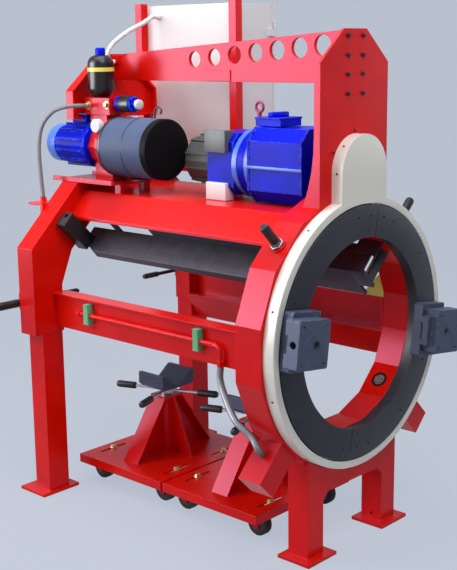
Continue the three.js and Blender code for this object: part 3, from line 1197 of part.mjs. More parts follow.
function wheelPair(y) {
  const t = TROLLEY;
  const end = t.casterX + t.wheelWide / 2 + t.forkGap + t.fork + t.pinOut;
  const axle = rodX(t.pin, -end, end, y, t.axle, SMALL_ROUND);
  const wheels = SIDES.map((s) =>
    rodX(t.wheel, s * t.casterX - t.wheelWide / 2, s * t.casterX + t.wheelWide / 2, y, t.axle));
  return joined(axle, wheels);
}

function saddle(y) {
  const s = SADDLE;
  const low = TROLLEY.head + SEAT_GAP + CAPSTAN.high + s.lift;
  const high = low + s.high;
  const vee = alongY(outline([
    [-s.half, high], [-s.half, low + s.corner], [-s.half + s.corner, low], [s.half - s.corner, low],
    [s.half, low + s.corner], [s.half, high], [s.half - s.wall, high], [s.seat, low + s.floor], [-s.seat, low + s.floor],
    [-s.half + s.wall, high],
  ]), y - s.halfLong, y + s.halfLong);
  const stem = rodZ(TROLLEY.stem, TROLLEY.head - TROLLEY.stemLong, low + s.weld, 0, y, SMALL_ROUND);
  const hub = rodZ(s.hub, low - s.lift + s.hubGap, low + s.weld, 0, y);
  return joined(vee, stem, hub);
}

function capstan(y) {
  const c = CAPSTAN;
  const z = TROLLEY.head + SEAT_GAP;
  const hub = rodZ(c.hub, z, z + c.high, 0, y);
  const bore = rodZ(turningBore(TROLLEY.stem, SMALL_ROUND), z - OVERRUN, z + c.high + OVERRUN, 0, y, SMALL_ROUND);
  const arms = Array.from({ length: c.arms }, (_, i) => {
    const angle = ((i / c.arms) * FULL_TURN + c.turn) * (360 / FULL_TURN);
    return joined(
      rodX(c.rod, c.hub - c.rodIn, c.reach + c.gripLong / 2, 0, 0, HEXAGON),
      gripX(c.grip, c.reach, c.gripLong, 0, 0),
    ).rotate([0, 0, angle]).translate([0, y, z + c.rise]);
  });
  return cut(joined(hub, arms), bore);
}

// Assembly

const root = new THREE.Group();

function node(name, finish, body) {
  const made = body.getMesh();
  const stride = made.numProp;
  const places = new Float32Array(made.numVert * 3);
  for (let i = 0; i < made.numVert; i++) {
    places.set(made.vertProperties.subarray(i * stride, i * stride + 3), i * 3);
  }
  const geometry = new THREE.BufferGeometry();
  geometry.setAttribute("position", new THREE.BufferAttribute(places, 3));
  geometry.setIndex(new THREE.BufferAttribute(made.triVerts, 1));
  geometry.computeVertexNormals();
  const mesh = new THREE.Mesh(geometry, new THREE.MeshStandardMaterial(PAINT[finish]));
  mesh.name = name;
  root.add(mesh);
}

node("rear_frame", "red", rearFrame());
node("front_stand", "red", frontStand());
node("ring_housing", "red", ringHousing());
node("ring_cover", "cream", ringCover());
node("column_plate", "red", columnPlate());
node("arch_bar", "red", archBar());
node("rear_column", "red", rearColumn());
node("main_beam", "red", mainBeam());
node("rail_left", "red", railLeft());
node("rail_right", "red", railRight());

node("rotary_ring", "black", rotaryRing());
node("ring_gear", "steel", ringGear());
node("bearing_race", "steel", bearingRace());
node("drive_pinion", "steel", drivePinion());
node("gear_unit", "blue", gearUnit());
node("drive_motor", "blue", driveMotor());
node("motor_cowl", "black", motorCowl());
node("terminal_box", "blue", terminalBox());

for (const [side, angle] of [["left", Math.PI - RING.turn], ["right", -RING.turn]]) {
  node(`tool_saddle_${side}`, "tool", toolSaddle(angle));
  node(`tool_slide_${side}`, "tool", toolSlide(angle));
}

for (const [side, place] of [["left", mirroredX], ["right", (body) => body]]) {
  node(`clamp_shoe_${side}`, "shoe", place(clampShoe(SHOE_INWARD[side])));
  node(`shoe_guide_${side}`, "rubber", place(shoeGuide()));
  node(`front_spindle_${side}`, "rubber", place(frontSpindle(SHOE_INWARD[side], SHOE_OUTWARD[side])));
  node(`rear_spindle_${side}`, "rubber", place(rearSpindle()));
}
for (const [side, angle] of [["left", LOWER_LEFT], ["right", LOWER_RIGHT]]) {
  node(`lower_cylinder_${side}`, "red", lowerCylinder(angle));
  node(`lower_rod_${side}`, "steel", lowerRod(angle));
}

node("pump_tray", "red", pumpTray());
node("oil_tank", "tank", oilTank());
node("manifold_block", "red", manifoldBlock());
node("pump_motor", "blue", pumpMotor());
node("accumulator", "rubber", accumulator());
node("valve", "blue", valve());

node("cabinet_frame", "red", cabinetFrame());
node("cabinet_body", "white", cabinetBody());
node("cabinet_door", "white", cabinetDoor());
node("door_handle", "rubber", doorHandle());

node("oil_pipe", "red", oilPipe());
node("pipe_clamp_rear", "green", pipeClamp(ARCH.front - CLIP.rearGap));
node("pipe_clamp_front", "green", pipeClamp(HOUSING.rear + CLIP.frontGap));
node("hose_lower", "hose", hoseLower());
node("hose_rear", "hose", hoseRear());
node("conduit", "conduit", conduit());

for (const [end, y] of [["rear", TROLLEY.rearY], ["front", TROLLEY.frontY]]) {
  node(`deck_${end}`, "red", trolleyDeck(y));
  node(`wheels_${end}_a`, "rubber", wheelPair(y - TROLLEY.casterY));
  node(`wheels_${end}_b`, "rubber", wheelPair(y + TROLLEY.casterY));
  node(`saddle_${end}`, "tool", saddle(y));
  node(`capstan_${end}`, "steel", capstan(y));
}

// The row frame starts at the middle of the bounding box on the floor, with the free hoses left out.
const reach = new THREE.Box3();
for (const mesh of root.children) {
  if (!["hose_lower", "hose_rear", "conduit"].includes(mesh.name)) reach.expandByObject(mesh);
}
for (const mesh of root.children) {
  mesh.geometry.translate(-(reach.min.x + reach.max.x) / 2, -(reach.min.y + reach.max.y) / 2, -reach.min.z);
}

export default root;
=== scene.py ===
# %% [markdown]
# A ring-head pipe machine, dressed for its picture. Its shapes come packed from the CAD step; this
# lesson gives them paint and wear, turns a few of them again with more sides, and adds the small
# parts that a CAD solid leaves out: bolts, grips, plates, hose braid, vents.

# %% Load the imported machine
from math import acos, cos, pi, radians, sin, tau
import bpy
import bmesh
from mathutils import Matrix, Vector


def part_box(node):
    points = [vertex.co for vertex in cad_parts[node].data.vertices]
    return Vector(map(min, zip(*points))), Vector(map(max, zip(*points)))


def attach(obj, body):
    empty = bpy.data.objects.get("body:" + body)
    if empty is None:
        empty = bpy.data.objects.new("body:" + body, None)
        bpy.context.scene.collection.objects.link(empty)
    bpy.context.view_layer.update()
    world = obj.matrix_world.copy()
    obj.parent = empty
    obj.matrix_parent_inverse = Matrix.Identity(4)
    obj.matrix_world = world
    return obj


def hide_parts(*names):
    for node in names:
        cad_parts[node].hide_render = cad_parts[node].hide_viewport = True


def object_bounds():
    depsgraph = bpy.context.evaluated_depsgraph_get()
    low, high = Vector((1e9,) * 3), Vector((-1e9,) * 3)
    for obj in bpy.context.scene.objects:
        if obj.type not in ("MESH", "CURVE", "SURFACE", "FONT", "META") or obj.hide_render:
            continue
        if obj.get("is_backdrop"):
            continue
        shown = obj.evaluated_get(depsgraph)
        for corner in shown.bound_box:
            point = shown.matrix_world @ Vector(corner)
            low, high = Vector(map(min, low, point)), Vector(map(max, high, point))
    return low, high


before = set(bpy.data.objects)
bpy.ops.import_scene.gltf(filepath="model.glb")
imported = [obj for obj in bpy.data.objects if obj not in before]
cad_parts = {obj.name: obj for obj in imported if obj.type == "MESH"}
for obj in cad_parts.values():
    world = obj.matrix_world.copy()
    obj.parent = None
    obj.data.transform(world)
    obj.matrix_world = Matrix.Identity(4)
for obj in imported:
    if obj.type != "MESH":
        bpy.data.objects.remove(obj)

CAD_LOW, CAD_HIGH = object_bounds()
print("machine box:", [round(v, 3) for v in (*CAD_LOW, *CAD_HIGH)])

# %% [markdown]
# The machine's drawings measure from the ring: X across, Y from the front of the black ring to the
# rear, Z up from the floor, in millimetres. One helper turns such a place into the frame's metres.

# %% Places on the drawing
RING_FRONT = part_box("rotary_ring")[0].y
AXIS = 845.0
PINION = AXIS + 498 + 114
FRONT, REAR, LEFT, RIGHT, UP = (0, -1, 0), (0, 1, 0), (-1, 0, 0), (1, 0, 0), (0, 0, 1)


def at(x, y, z):
    """A place on the drawing in millimetres, as a vector in the frame."""
    return Vector((x / 1000, RING_FRONT + y / 1000, z / 1000))


def corner(node, which):
    """A corner of a CAD node's box, back in drawing millimetres."""
    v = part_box(node)[which]
    return Vector((v.x * 1000, (v.y - RING_FRONT) * 1000, v.z * 1000))


def low(node):
    return corner(node, 0)


def high(node):
    return corner(node, 1)


def away(degrees):
    """A direction from the ring's axis, as seen from the front."""
    return Vector((cos(radians(degrees)), 0, sin(radians(degrees))))


AT_AXIS = Matrix.Translation(at(0, 0, AXIS))
Z_TO_X = Matrix.Rotation(pi / 2, 4, "Y")
print("ring axis in the frame:", tuple(round(v, 4) for v in at(0, 0, AXIS)))

# %% [markdown]
# The camera stands to the front left, a little above head height, and looks down at the ring. The
# picture was cropped off centre by a few pixels, so the lens carries a very small shift.

# %% Camera
EYE = at(-3325, -2406, 1900)
AZIMUTH = radians(-47.4448)
PITCH = radians(11.6726)
ROLL = radians(-0.6125)
FOCAL_PIXELS = 1113.98
PICTURE = (457, 570)
CENTRE = (237.34, 279.52)

level = Vector((-sin(AZIMUTH), cos(AZIMUTH), 0))
side = Vector((cos(AZIMUTH), sin(AZIMUTH), 0))
ahead = level * cos(PITCH) - Vector((0, 0, sin(PITCH)))
upward = level * sin(PITCH) + Vector((0, 0, cos(PITCH)))
right = side * cos(ROLL) + upward * sin(ROLL)
above = upward * cos(ROLL) - side * sin(ROLL)

lens = bpy.data.cameras.new("camera")
lens.sensor_width = 36
lens.lens = 36 * FOCAL_PIXELS / PICTURE[1]
lens.shift_x = (PICTURE[0] / 2 - CENTRE[0]) / PICTURE[1]
lens.shift_y = (CENTRE[1] - PICTURE[1] / 2) / PICTURE[1]
camera = bpy.data.objects.new("camera", lens)
bpy.context.scene.collection.objects.link(camera)
turn = Matrix((right, above, -ahead)).transposed().to_4x4()
camera.matrix_world = Matrix.Translation(EYE) @ turn
bpy.context.scene.camera = camera
print("lens", round(lens.lens, 2), "mm, shift", round(lens.shift_x, 4), round(lens.shift_y, 4))

# %% [markdown]
# Most new pieces are modelled as by hand: a primitive or a lathed profile, faces inset and extruded,
# edges bevelled. Each helper first lets go of what was selected, because an operator acts on all of it.

# %% Modelling helpers
ops = bpy.ops
SEAM = 0.00002
spares = []


def take(*objects):
    """Selects only these objects and makes the first one active."""
    if bpy.context.object and bpy.context.object.mode != "OBJECT":
        close()
    ops.object.select_all(action="DESELECT")
    for o in objects:
        o.select_set(True)
    bpy.context.view_layer.objects.active = objects[0]


def pick_top(obj):
    """Opens a piece for editing with only the faces that look up selected."""
    take(obj)
    ops.object.mode_set(mode="EDIT")
    ops.mesh.select_mode(type="FACE")
    ops.mesh.select_all(action="DESELECT")
    mesh = bmesh.from_edit_mesh(obj.data)
    for face in mesh.faces:
        face.select = face.normal.z > 0.9
    mesh.select_flush_mode()
    bmesh.update_edit_mesh(obj.data)


def close():
    ops.object.mode_set(mode="OBJECT")


def linked(name, data):
    """A new object for a mesh, a curve or a lamp, in the scene."""
    obj = bpy.data.objects.new(name, data)
    bpy.context.scene.collection.objects.link(obj)
    return obj


def mesh_piece(name, verts, edges, faces=()):
    mesh = bpy.data.meshes.new(name)
    mesh.from_pydata(verts, edges, faces)
    return linked(name, mesh)


def face_outward(obj, merge=False):
    """Turns all faces outward; merge first closes the seams."""
    take(obj)
    ops.object.mode_set(mode="EDIT")
    ops.mesh.select_all(action="SELECT")
    if merge:
        ops.mesh.remove_doubles(threshold=SEAM)
    ops.mesh.normals_make_consistent(inside=False)
    close()
    return obj


def smoothed(obj, degrees=40):
    """Shades a piece smooth where its faces meet at less than an angle."""
    take(obj)
    ops.object.shade_smooth_by_angle(angle=radians(degrees))
    return obj


def primitive(name, add, scale=(1, 1, 1), **how):
    """A primitive with its place and size moved into its mesh."""
    ops.object.select_all(action="DESELECT")
    add(**how)
    obj = bpy.context.object
    obj.name = name
    obj.scale = scale
    take(obj)
    ops.object.transform_apply(location=True, rotation=True, scale=True)
    return obj


def drum(name, radius, height, sides=32):
    """A cylinder that stands on the origin and rises along Z."""
    return primitive(name, ops.mesh.primitive_cylinder_add, vertices=sides, radius=radius, depth=height,
                     location=(0, 0, height / 2))


def block(name, size):
    """A box of that size about the origin."""
    return primitive(name, ops.mesh.primitive_cube_add, size, size=1)


def bevelled(obj, width, segments=2, angle=30):
    """Rounds a piece's edges with a Bevel modifier and applies it."""
    take(obj)
    m = obj.modifiers.new("bevel", "BEVEL")
    m.width = width
    m.segments = segments
    m.limit_method = "ANGLE"
    m.angle_limit = radians(angle)
    ops.object.modifier_apply(modifier=m.name)
    return smoothed(obj, 35)


def lathe(name, profile, sides=32):
    """A solid of revolution about Z from pairs of radius and height in millimetres."""
    obj = mesh_piece(name, [(r / 1000, 0, h / 1000) for r, h in profile],
                     [(i, i + 1) for i in range(len(profile) - 1)])
    take(obj)
    spin = obj.modifiers.new("spin", "SCREW")
    spin.steps = spin.render_steps = sides
    ops.object.modifier_apply(modifier=spin.name)
    return smoothed(face_outward(obj, merge=True))


def hoop(inner, outer, start, end):
    """The profile of a flat ring, for the lathe."""
    return [(inner, start), (outer, start), (outer, end), (inner, end), (inner, start)]


def prism(name, near, far, round_):
    """A plate between two equal outlines, with rounded edges."""
    n = len(near)
    faces = [tuple(range(n)), tuple(reversed(range(n, 2 * n)))]
    faces += [(i, i + n, (i + 1) % n + n, (i + 1) % n) for i in range(n)]
    return bevelled(face_outward(mesh_piece(name, near + far, [], faces)), round_)


def union(name, parts):
    """Joins pieces into one object."""
    take(*parts)
    if len(parts) > 1:
        ops.object.join()
    parts[0].name = name
    return parts[0]


def stand(place, direction=UP, roll=0.0, size=1.0):
    """The matrix that sets a piece's foot on a place with its Z along a direction."""
    turned_ = Vector(direction).normalized().to_track_quat("Z", "Y").to_matrix().to_4x4()
    return Matrix.Translation(place) @ turned_ @ Matrix.Rotation(roll, 4, "Z") @ Matrix.Scale(size, 4)


def dress(obj, finish):
    obj.data.materials.clear()
    obj.data.materials.append(finish)


def settle(piece, body, finish, node=None):
    """Paints a piece; sets its body and the CAD node it replaces."""
    dress(piece, finish)
    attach(piece, body)
    if node:
        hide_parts(node)
    return piece


def put(obj, place, finish, node=None, body="frame"):
    """Sets one finished piece in place for good."""
    obj.data.transform(place)
    obj.data.update()
    return settle(obj, body, finish, node)


def turned(name, profile, sides, place, direction, finish, node=None, body="frame"):
    """A lathed piece, its foot on a place and its axis along a direction."""
    return put(lathe(name, profile, sides), stand(place, direction), finish, node, body)


def boxed(name, size, place, finish, round_=0.004, segments=3):
    """A box with rounded edges about a place on the frame."""
    return put(bevelled(block(name, size), round_, segments), stand(place), finish)


def spread(name, master, places, body, finish):
    """Sets a copy of a master piece at each place, joined as one object on a body."""
    copies = []
    for place in places:
        one = linked(name, master.data.copy())
        one.data.transform(place)
        copies.append(one)
    if master not in spares:
        spares.append(master)
    return settle(union(name, copies), body, finish)


print("helpers ready")

# %% [markdown]
# The free hoses come first: a steel-braided one from the oil line to the lower left cylinder, a
# thinner one from the power pack to the rear arch, and a pale corrugated conduit to the cabinet. Each
# is a tube swept along its CAD solid's route, with the length in V of its UV map.

# %% Tubes along a route


def smooth_route(points, steps):
    """Points on the Catmull-Rom curve through the route, as the CAD solid has it."""
    route = [Vector(p) for p in points]
    ends = [route[0] * 2 - route[1], *route, route[-1] * 2 - route[-2]]
    out = []
    for i in range(1, len(ends) - 2):
        p0, p1, p2, p3 = ends[i - 1:i + 3]
        for k in range(steps):
            t = k / steps
            out.append(0.5 * (2 * p1 + (p2 - p0) * t + (2 * p0 - 5 * p1 + 4 * p2 - p3) * t ** 2
                              + (3 * p1 - p0 - 3 * p2 + p3) * t ** 3))
    out.append(route[-1])
    return out


def tube(name, path, radius, sides=20, rib=0.0, pitch=0.01):
    """A round tube along a path with a UV map; rib raises rings at the given pitch."""
    normal = (path[1] - path[0]).orthogonal().normalized()
    verts, runs, run = [], [], 0.0
    for i, p in enumerate(path):
        onward = (path[min(i + 1, len(path) - 1)] - path[max(i - 1, 0)]).normalized()
        normal = (normal - onward * normal.dot(onward)).normalized()
        across = onward.cross(normal)
        run += (p - path[i - 1]).length if i else 0.0
        runs.append(run)
        swell = radius + rib * (0.5 + 0.5 * cos(run / pitch * tau))
        for k in range(sides):
            a = k / sides * tau
            verts.append(p + (normal * cos(a) + across * sin(a)) * swell)
    faces, uvs = [], []
    for i in range(len(path) - 1):
        for k in range(sides):
            places = ((i, k), (i, k + 1), (i + 1, k + 1), (i + 1, k))
            faces.append([row * sides + j % sides for row, j in places])
            uvs += [(j / sides, runs[row]) for row, j in places]
    for row, order in ((0, range(sides - 1, -1, -1)), (len(path) - 1, range(sides))):
        faces.append([row * sides + j for j in order])
        uvs += [(j / sides, runs[row]) for j in order]
    obj = mesh_piece(name, verts, [], faces)
    for corner_, uv in zip(obj.data.uv_layers.new(name="along").data, uvs):
        corner_.uv = uv
    for poly in obj.data.polygons:
        poly.use_smooth = len(poly.vertices) == 4
    return obj


# %% Routes of the three free hoses
CYLINDER_INNER, CYLINDER_OUTER = 530.3, 702.3
END_RADIUS = (CYLINDER_INNER + CYLINDER_OUTER) / 2 - 25
DIAGONAL = radians(225)
ROD_Y = 112.5


def beside_cylinder(off):
    """A point beside the lower left cylinder, that far out from its middle."""
    return (END_RADIUS * cos(DIAGONAL) + off * sin(DIAGONAL), ROD_Y,
            AXIS + END_RADIUS * sin(DIAGONAL) - off * cos(DIAGONAL))


LOWER_ROUTE = [(-446, 326, 751), (-446, 328, 699), (-460, 286, 633), (-486, 216, 575),
               (-478, 146, 527), beside_cylinder(50 + 39), beside_cylinder(50 + 1)]
REAR_ROUTE = [(-209, 1322, 1671), (-243, 1324, 1672), (-289, 1356, 1669), (-321, 1410, 1647),
              (-345, 1456, 1587), (-353, 1474, 1495), (-349, 1474, 1371), (-345, 1470, 1281)]
CONDUIT_ROUTE = [(-24, 1344.7, 1852), (-48, 1344.7, 1855), (-60, 1344.7, 1884), (-30, 1342.7, 1928),
                 (52, 1338.7, 1978), (145.3, 1334, 2018), (201.3, 1332, 2046), (229.3, 1332, 2046)]
CAD_STEPS = 24
hoses = []
for name, node, route, diameter, stiffness, steps, *sizes in (
        ("braided_hose", "hose_lower", LOWER_ROUTE, 0.0256, "stiff", CAD_STEPS, 0.0128),
        ("loop_hose", "hose_rear", REAR_ROUTE, 0.0176, "stiff", CAD_STEPS, 0.0088),
        ("ribbed_conduit", "conduit", CONDUIT_ROUTE, 0.02, "medium", 60, 0.0092, 18, 0.0014, 0.0062)):
    places = [at(*p) for p in route]
    piece = tube(name, smooth_route(places, steps), *sizes)
    hoses.append(piece)
    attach(piece, "frame")
    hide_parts(node)

# %% [markdown]
# Effects that several finishes share are node groups: a rounded-edge normal with a mask where the
# edge is, a soft drift of colour and gloss, brushed streaks, and settled dust. The shader itself
# stays in the material.

# %% Node group helpers


def group(name, inputs, outputs):
    """A node group; returns its tree, what it is given and its end."""
    tree = bpy.data.node_groups.new(name, "ShaderNodeTree")
    for label, kind, value in inputs:
        socket = tree.interface.new_socket(name=label, in_out="INPUT", socket_type="NodeSocket" + kind)
        if value is not None:
            socket.default_value = value
    for label, kind in outputs:
        tree.interface.new_socket(name=label, in_out="OUTPUT", socket_type="NodeSocket" + kind)
    return tree, tree.nodes.new("NodeGroupInput").outputs, tree.nodes.new("NodeGroupOutput")


def feed(source, socket):
    """Links a socket, or sets a number or a colour on it; None leaves it as it is."""
    if isinstance(source, bpy.types.NodeSocket):
        socket.id_data.links.new(source, socket)
    elif socket.type == "RGBA" and source is not None:
        socket.default_value = (*source[:3], 1)
    elif source is not None:
        socket.default_value = source


def fill_in(n, named):
    """Feeds a node's inputs by their labels."""
    for label, source in named.items():
        feed(source, n.inputs[label])
    return n


def add_node(tree, kind, *sources, **settings):
    """A new node with its settings, its inputs fed in their order."""
    n = tree.nodes.new("ShaderNode" + kind)
    for label, value in settings.items():
        setattr(n, label, value)
    for source, socket in zip(sources, n.inputs):
        feed(source, socket)
    return n


def calc(kind, a, b=None, clamp=False):
    """A Math node fed by sockets or numbers."""
    return add_node(a.id_data, "Math", a, b, operation=kind, use_clamp=clamp).outputs[0]


def noise(vector, scale, detail=3.0, rough=0.55):
    n = add_node(vector.id_data, "TexNoise", vector)
    return fill_in(n, {"Scale": scale, "Detail": detail, "Roughness": rough}).outputs["Fac"]


def span(value, a, b, c=0.0, d=1.0):
    """Maps a value from a..b to c..d, clamped."""
    return add_node(value.id_data, "MapRange", value, a, b, c, d).outputs[0]


def blend(fac, a, b):
    n = add_node(fac.id_data, "Mix", fac, data_type="RGBA")
    feed(a, n.inputs[6])
    feed(b, n.inputs[7])
    return n.outputs[2]


def object_place(tree):
    return add_node(tree, "TexCoord").outputs["Object"]


# %% Group: rounded edges with wear and painted highlight
EDGES, given, sink = group(
    "rounded_edges", [("Radius", "Float", 0.002), ("Amount", "Float", 0.5), ("Scale", "Float", 60.0)],
    [("Wear", "Float"), ("Normal", "Vector")])
rounded = add_node(EDGES, "Bevel", given["Radius"], samples=4).outputs[0]
meet = add_node(EDGES, "VectorMath", rounded, add_node(EDGES, "NewGeometry").outputs["Normal"],
                operation="DOT_PRODUCT")
edge_mask = span(meet.outputs["Value"], 0.995, 0.9)
patchy = span(noise(object_place(EDGES), given["Scale"], 4.0), 0.45, 0.62)
worn_and_lit = calc("MULTIPLY", edge_mask, patchy)
fill_in(sink, {"Wear": calc("MULTIPLY", worn_and_lit, given["Amount"], True), "Normal": rounded})

# %% Group: drift of colour and gloss
DRIFT, given, sink = group(
    "paint_drift", [("Paint", "Color", (0.5, 0.5, 0.5, 1)), ("Deep", "Color", (0.3, 0.3, 0.3, 1)),
                    ("Scale", "Float", 3.0), ("Gloss", "Float", 0.3), ("Spread", "Float", 0.08)],
    [("Color", "Color"), ("Roughness", "Float"), ("Height", "Float")])
where = object_place(DRIFT)
slow = span(noise(where, given["Scale"], 3.0), 0.35, 0.7)
smear = calc("SUBTRACT", noise(where, 14.0, 5.0, 0.65), 0.5)
shine = calc("MULTIPLY", calc("MULTIPLY", smear, given["Spread"]), 2.0)
fill_in(sink, {"Color": blend(slow, given["Paint"], given["Deep"]),
               "Roughness": calc("ADD", shine, given["Gloss"], True), "Height": noise(where, 260.0, 2.0)})

# %% Group: brushed streaks
BRUSH, given, sink = group(
    "brushed_streaks", [("Scale", "Vector", (40.0, 900.0, 40.0))], [("Streak", "Float")])
stretch = add_node(BRUSH, "VectorMath", object_place(BRUSH), given["Scale"], operation="MULTIPLY")
fill_in(sink, {"Streak": noise(stretch.outputs[0], 1.0, 3.0)})

# %% Group: settled dust
DUST, given, sink = group(
    "settled_dust", [("Amount", "Float", 0.2), ("Scale", "Float", 25.0)], [("Dust", "Float")])
look = add_node(DUST, "SeparateXYZ", add_node(DUST, "TexCoord").outputs["Normal"])
upfacing = span(look.outputs["Z"], 0.3, 1.0)
cloud = span(noise(object_place(DUST), given["Scale"], 5.0, 0.7), 0.42, 0.72)
lying = calc("MULTIPLY", upfacing, cloud)
fill_in(sink, {"Dust": calc("MULTIPLY", lying, given["Amount"], True)})
print("node groups:", [g.name for g in bpy.data.node_groups])

# %% [markdown]
# A finish is one material with its own Principled shader. It mixes the paint's drift, a tint on the
# edges that is wear on most finishes and a painted highlight on some, and a little dust on top; bare
# steels add brushed streaks.

# %% Finish builder
DUST_COLOUR = (0.42, 0.4, 0.38)
COAT_ROUGHNESS = 0.16


def place_group(tree, source, **values):
    return fill_in(add_node(tree, "Group", node_tree=source), values)


def new_material(name):
    """A material with its node tree and its shader."""
    mat = bpy.data.materials.new(name)
    mat.use_nodes = True
    return mat, mat.node_tree, mat.node_tree.nodes["Principled BSDF"]


def coated(name, paint, deep, gloss=0.3, spread_=0.06, metal=0.0, coat=0.0, edge=0.0015, wear_and_highlight=0.4,
           worn_and_lit=(0.35, 0.3, 0.28), dust=0.1, scale=3.0, bump=0.02, streaks=None, specular=0.3,
           tint=(1, 1, 1)):
    """A painted or machined finish; streaks gives the stretch of brushed lines."""
    mat, tree, shader = new_material(name)
    drift = place_group(tree, DRIFT, Paint=paint, Deep=deep, Scale=scale, Gloss=gloss, Spread=spread_)
    edges = place_group(tree, EDGES, Radius=edge, Amount=wear_and_highlight)
    settled = place_group(tree, DUST, Amount=dust).outputs["Dust"]
    colour, rough, height = (drift.outputs[label] for label in ("Color", "Roughness", "Height"))
    if streaks:
        lines = place_group(tree, BRUSH, Scale=streaks).outputs["Streak"]
        colour = blend(span(lines, 0.4, 0.65, 0.0, 0.35), colour,
                       tuple(c * 1.6 for c in paint))
        rough = calc("ADD", rough, span(lines, 0.35, 0.7, -0.06, 0.1), True)
        height = lines
    # Edge tint: wear on most finishes, a painted highlight where it is lighter than the paint (tool steel,
    # blue enamel).
    colour = blend(edges.outputs["Wear"], colour, worn_and_lit)
    colour = blend(settled, colour, DUST_COLOUR)
    rough = calc("ADD", rough, calc("MULTIPLY", settled, 0.35), True)
    grain = fill_in(add_node(tree, "Bump"), {
        "Strength": bump, "Distance": 0.001, "Height": height, "Normal": edges.outputs["Normal"]})
    fill_in(shader, {
        "Base Color": colour, "Roughness": rough, "Metallic": metal, "Coat Weight": coat,
        "Coat Roughness": COAT_ROUGHNESS, "Specular IOR Level": specular, "Specular Tint": tint,
        "Normal": grain.outputs[0]})
    return mat


# %% Finishes of the machine
RED = coated(
    "red_enamel", (0.8, 0.008, 0.001), (0.6, 0.003, 0.0005), 0.24, 0.04, wear_and_highlight=0.35, worn_and_lit=(0.88, 0.16, 0.14),
    dust=0.02, edge=0.0025, specular=0.26, tint=(1.0, 0.4, 0.72))
CREAM = coated(
    "cream_enamel", (0.84, 0.82, 0.76), (0.78, 0.76, 0.69), 0.34, coat=0.2, wear_and_highlight=0.3, worn_and_lit=(0.55, 0.5, 0.42),
    dust=0.06, edge=0.002)
RING_STEEL = coated(
    "blackened_ring", (0.026, 0.026, 0.034), (0.04, 0.04, 0.05), 0.42, 0.08, metal=0.35, wear_and_highlight=0.8,
    worn_and_lit=(0.2, 0.2, 0.22), streaks=(500.0, 40.0, 500.0))
# Tool steel: the pale blue-grey tint on its edges is a painted highlight.
TOOL_STEEL = coated(
    "tool_steel", (0.075, 0.094, 0.155), (0.055, 0.07, 0.115), 0.42, 0.1, metal=0.1, wear_and_highlight=1.0,
    worn_and_lit=(0.34, 0.42, 0.56), dust=0.06, edge=0.0035, specular=0.15, streaks=(60.0, 700.0, 60.0))
SHOE_LINING = coated(
    "shoe_lining", (0.062, 0.058, 0.084), (0.048, 0.045, 0.066), 0.55, 0.05, wear_and_highlight=0.6,
    worn_and_lit=(0.16, 0.15, 0.17), dust=0.15, bump=0.15)
# Blue enamel: the brighter blue on its edges is a painted highlight.
BLUE = coated(
    "blue_enamel", (0.001, 0.01, 0.78), (0.0005, 0.004, 0.42), 0.34, 0.06, wear_and_highlight=1.0, worn_and_lit=(0.12, 0.3, 1.0),
    dust=0.01, edge=0.005, specular=0.06, scale=5.0)
# Pale blue enamel; on the gearmotor's flange rims and side strips it is a painted highlight.
PALE_BLUE_AND_HIGHLIGHT = coated(
    "pale_blue_enamel", (0.1, 0.24, 0.86), (0.07, 0.17, 0.72), 0.34, coat=0.15, worn_and_lit=(0.35, 0.45, 0.9),
    dust=0.05, specular=0.2)
SLATE = coated(
    "slate_enamel", (0.105, 0.14, 0.25), (0.08, 0.108, 0.2), 0.46, wear_and_highlight=0.3, dust=0.02, specular=0.07)
BLACK_PAINT = coated(
    "black_enamel", (0.006, 0.006, 0.008), (0.009, 0.009, 0.011), 0.3, coat=0.2, wear_and_highlight=0.3,
    worn_and_lit=(0.08, 0.08, 0.09), dust=0.05)
MATT_BLACK = coated(
    "matt_black", (0.003, 0.003, 0.004), (0.005, 0.005, 0.006), 0.75, wear_and_highlight=0.2, worn_and_lit=(0.04, 0.04, 0.04),
    dust=0.02, specular=0.1)
DARK_GREY = coated(
    "dark_grey_casting", (0.06, 0.065, 0.065), (0.04, 0.045, 0.045), 0.5, wear_and_highlight=0.5, dust=0.2, bump=0.2)
WHITE = coated(
    "white_powder_coat", (0.78, 0.78, 0.79), (0.74, 0.74, 0.76), 0.46, 0.04, wear_and_highlight=0.2, worn_and_lit=(0.6, 0.6, 0.6),
    dust=0.06, bump=0.12)
STEEL = coated(
    "bright_steel", (0.5, 0.51, 0.53), (0.42, 0.43, 0.45), 0.28, 0.08, metal=1.0, wear_and_highlight=0.5,
    worn_and_lit=(0.75, 0.75, 0.77), dust=0.08, streaks=(300.0, 300.0, 20.0))
DARK_STEEL = coated(
    "oiled_steel", (0.05, 0.05, 0.055), (0.035, 0.035, 0.04), 0.4, metal=0.6, wear_and_highlight=0.6, worn_and_lit=(0.2, 0.2, 0.21))
ZINC = coated(
    "yellow_zinc", (0.6, 0.44, 0.2), (0.5, 0.34, 0.15), 0.3, 0.1, metal=0.85, worn_and_lit=(0.75, 0.65, 0.45))
GRIP = coated(
    "black_grip", (0.012, 0.012, 0.013), (0.018, 0.018, 0.02), 0.46, wear_and_highlight=0.5, worn_and_lit=(0.07, 0.07, 0.07),
    bump=0.25)
RUBBER = coated(
    "wheel_rubber", (0.016, 0.016, 0.018), (0.024, 0.023, 0.022), 0.7, wear_and_highlight=0.6, worn_and_lit=(0.07, 0.065, 0.06),
    dust=0.35, bump=0.3)
GREEN = coated("green_clamp", (0.12, 0.46, 0.22), (0.09, 0.38, 0.18), 0.42, worn_and_lit=(0.3, 0.6, 0.4), bump=0.15)
YELLOW = coated("yellow_paint", (0.92, 0.84, 0.16), (0.84, 0.74, 0.12), 0.35, wear_and_highlight=0.3, worn_and_lit=(0.5, 0.4, 0.1))
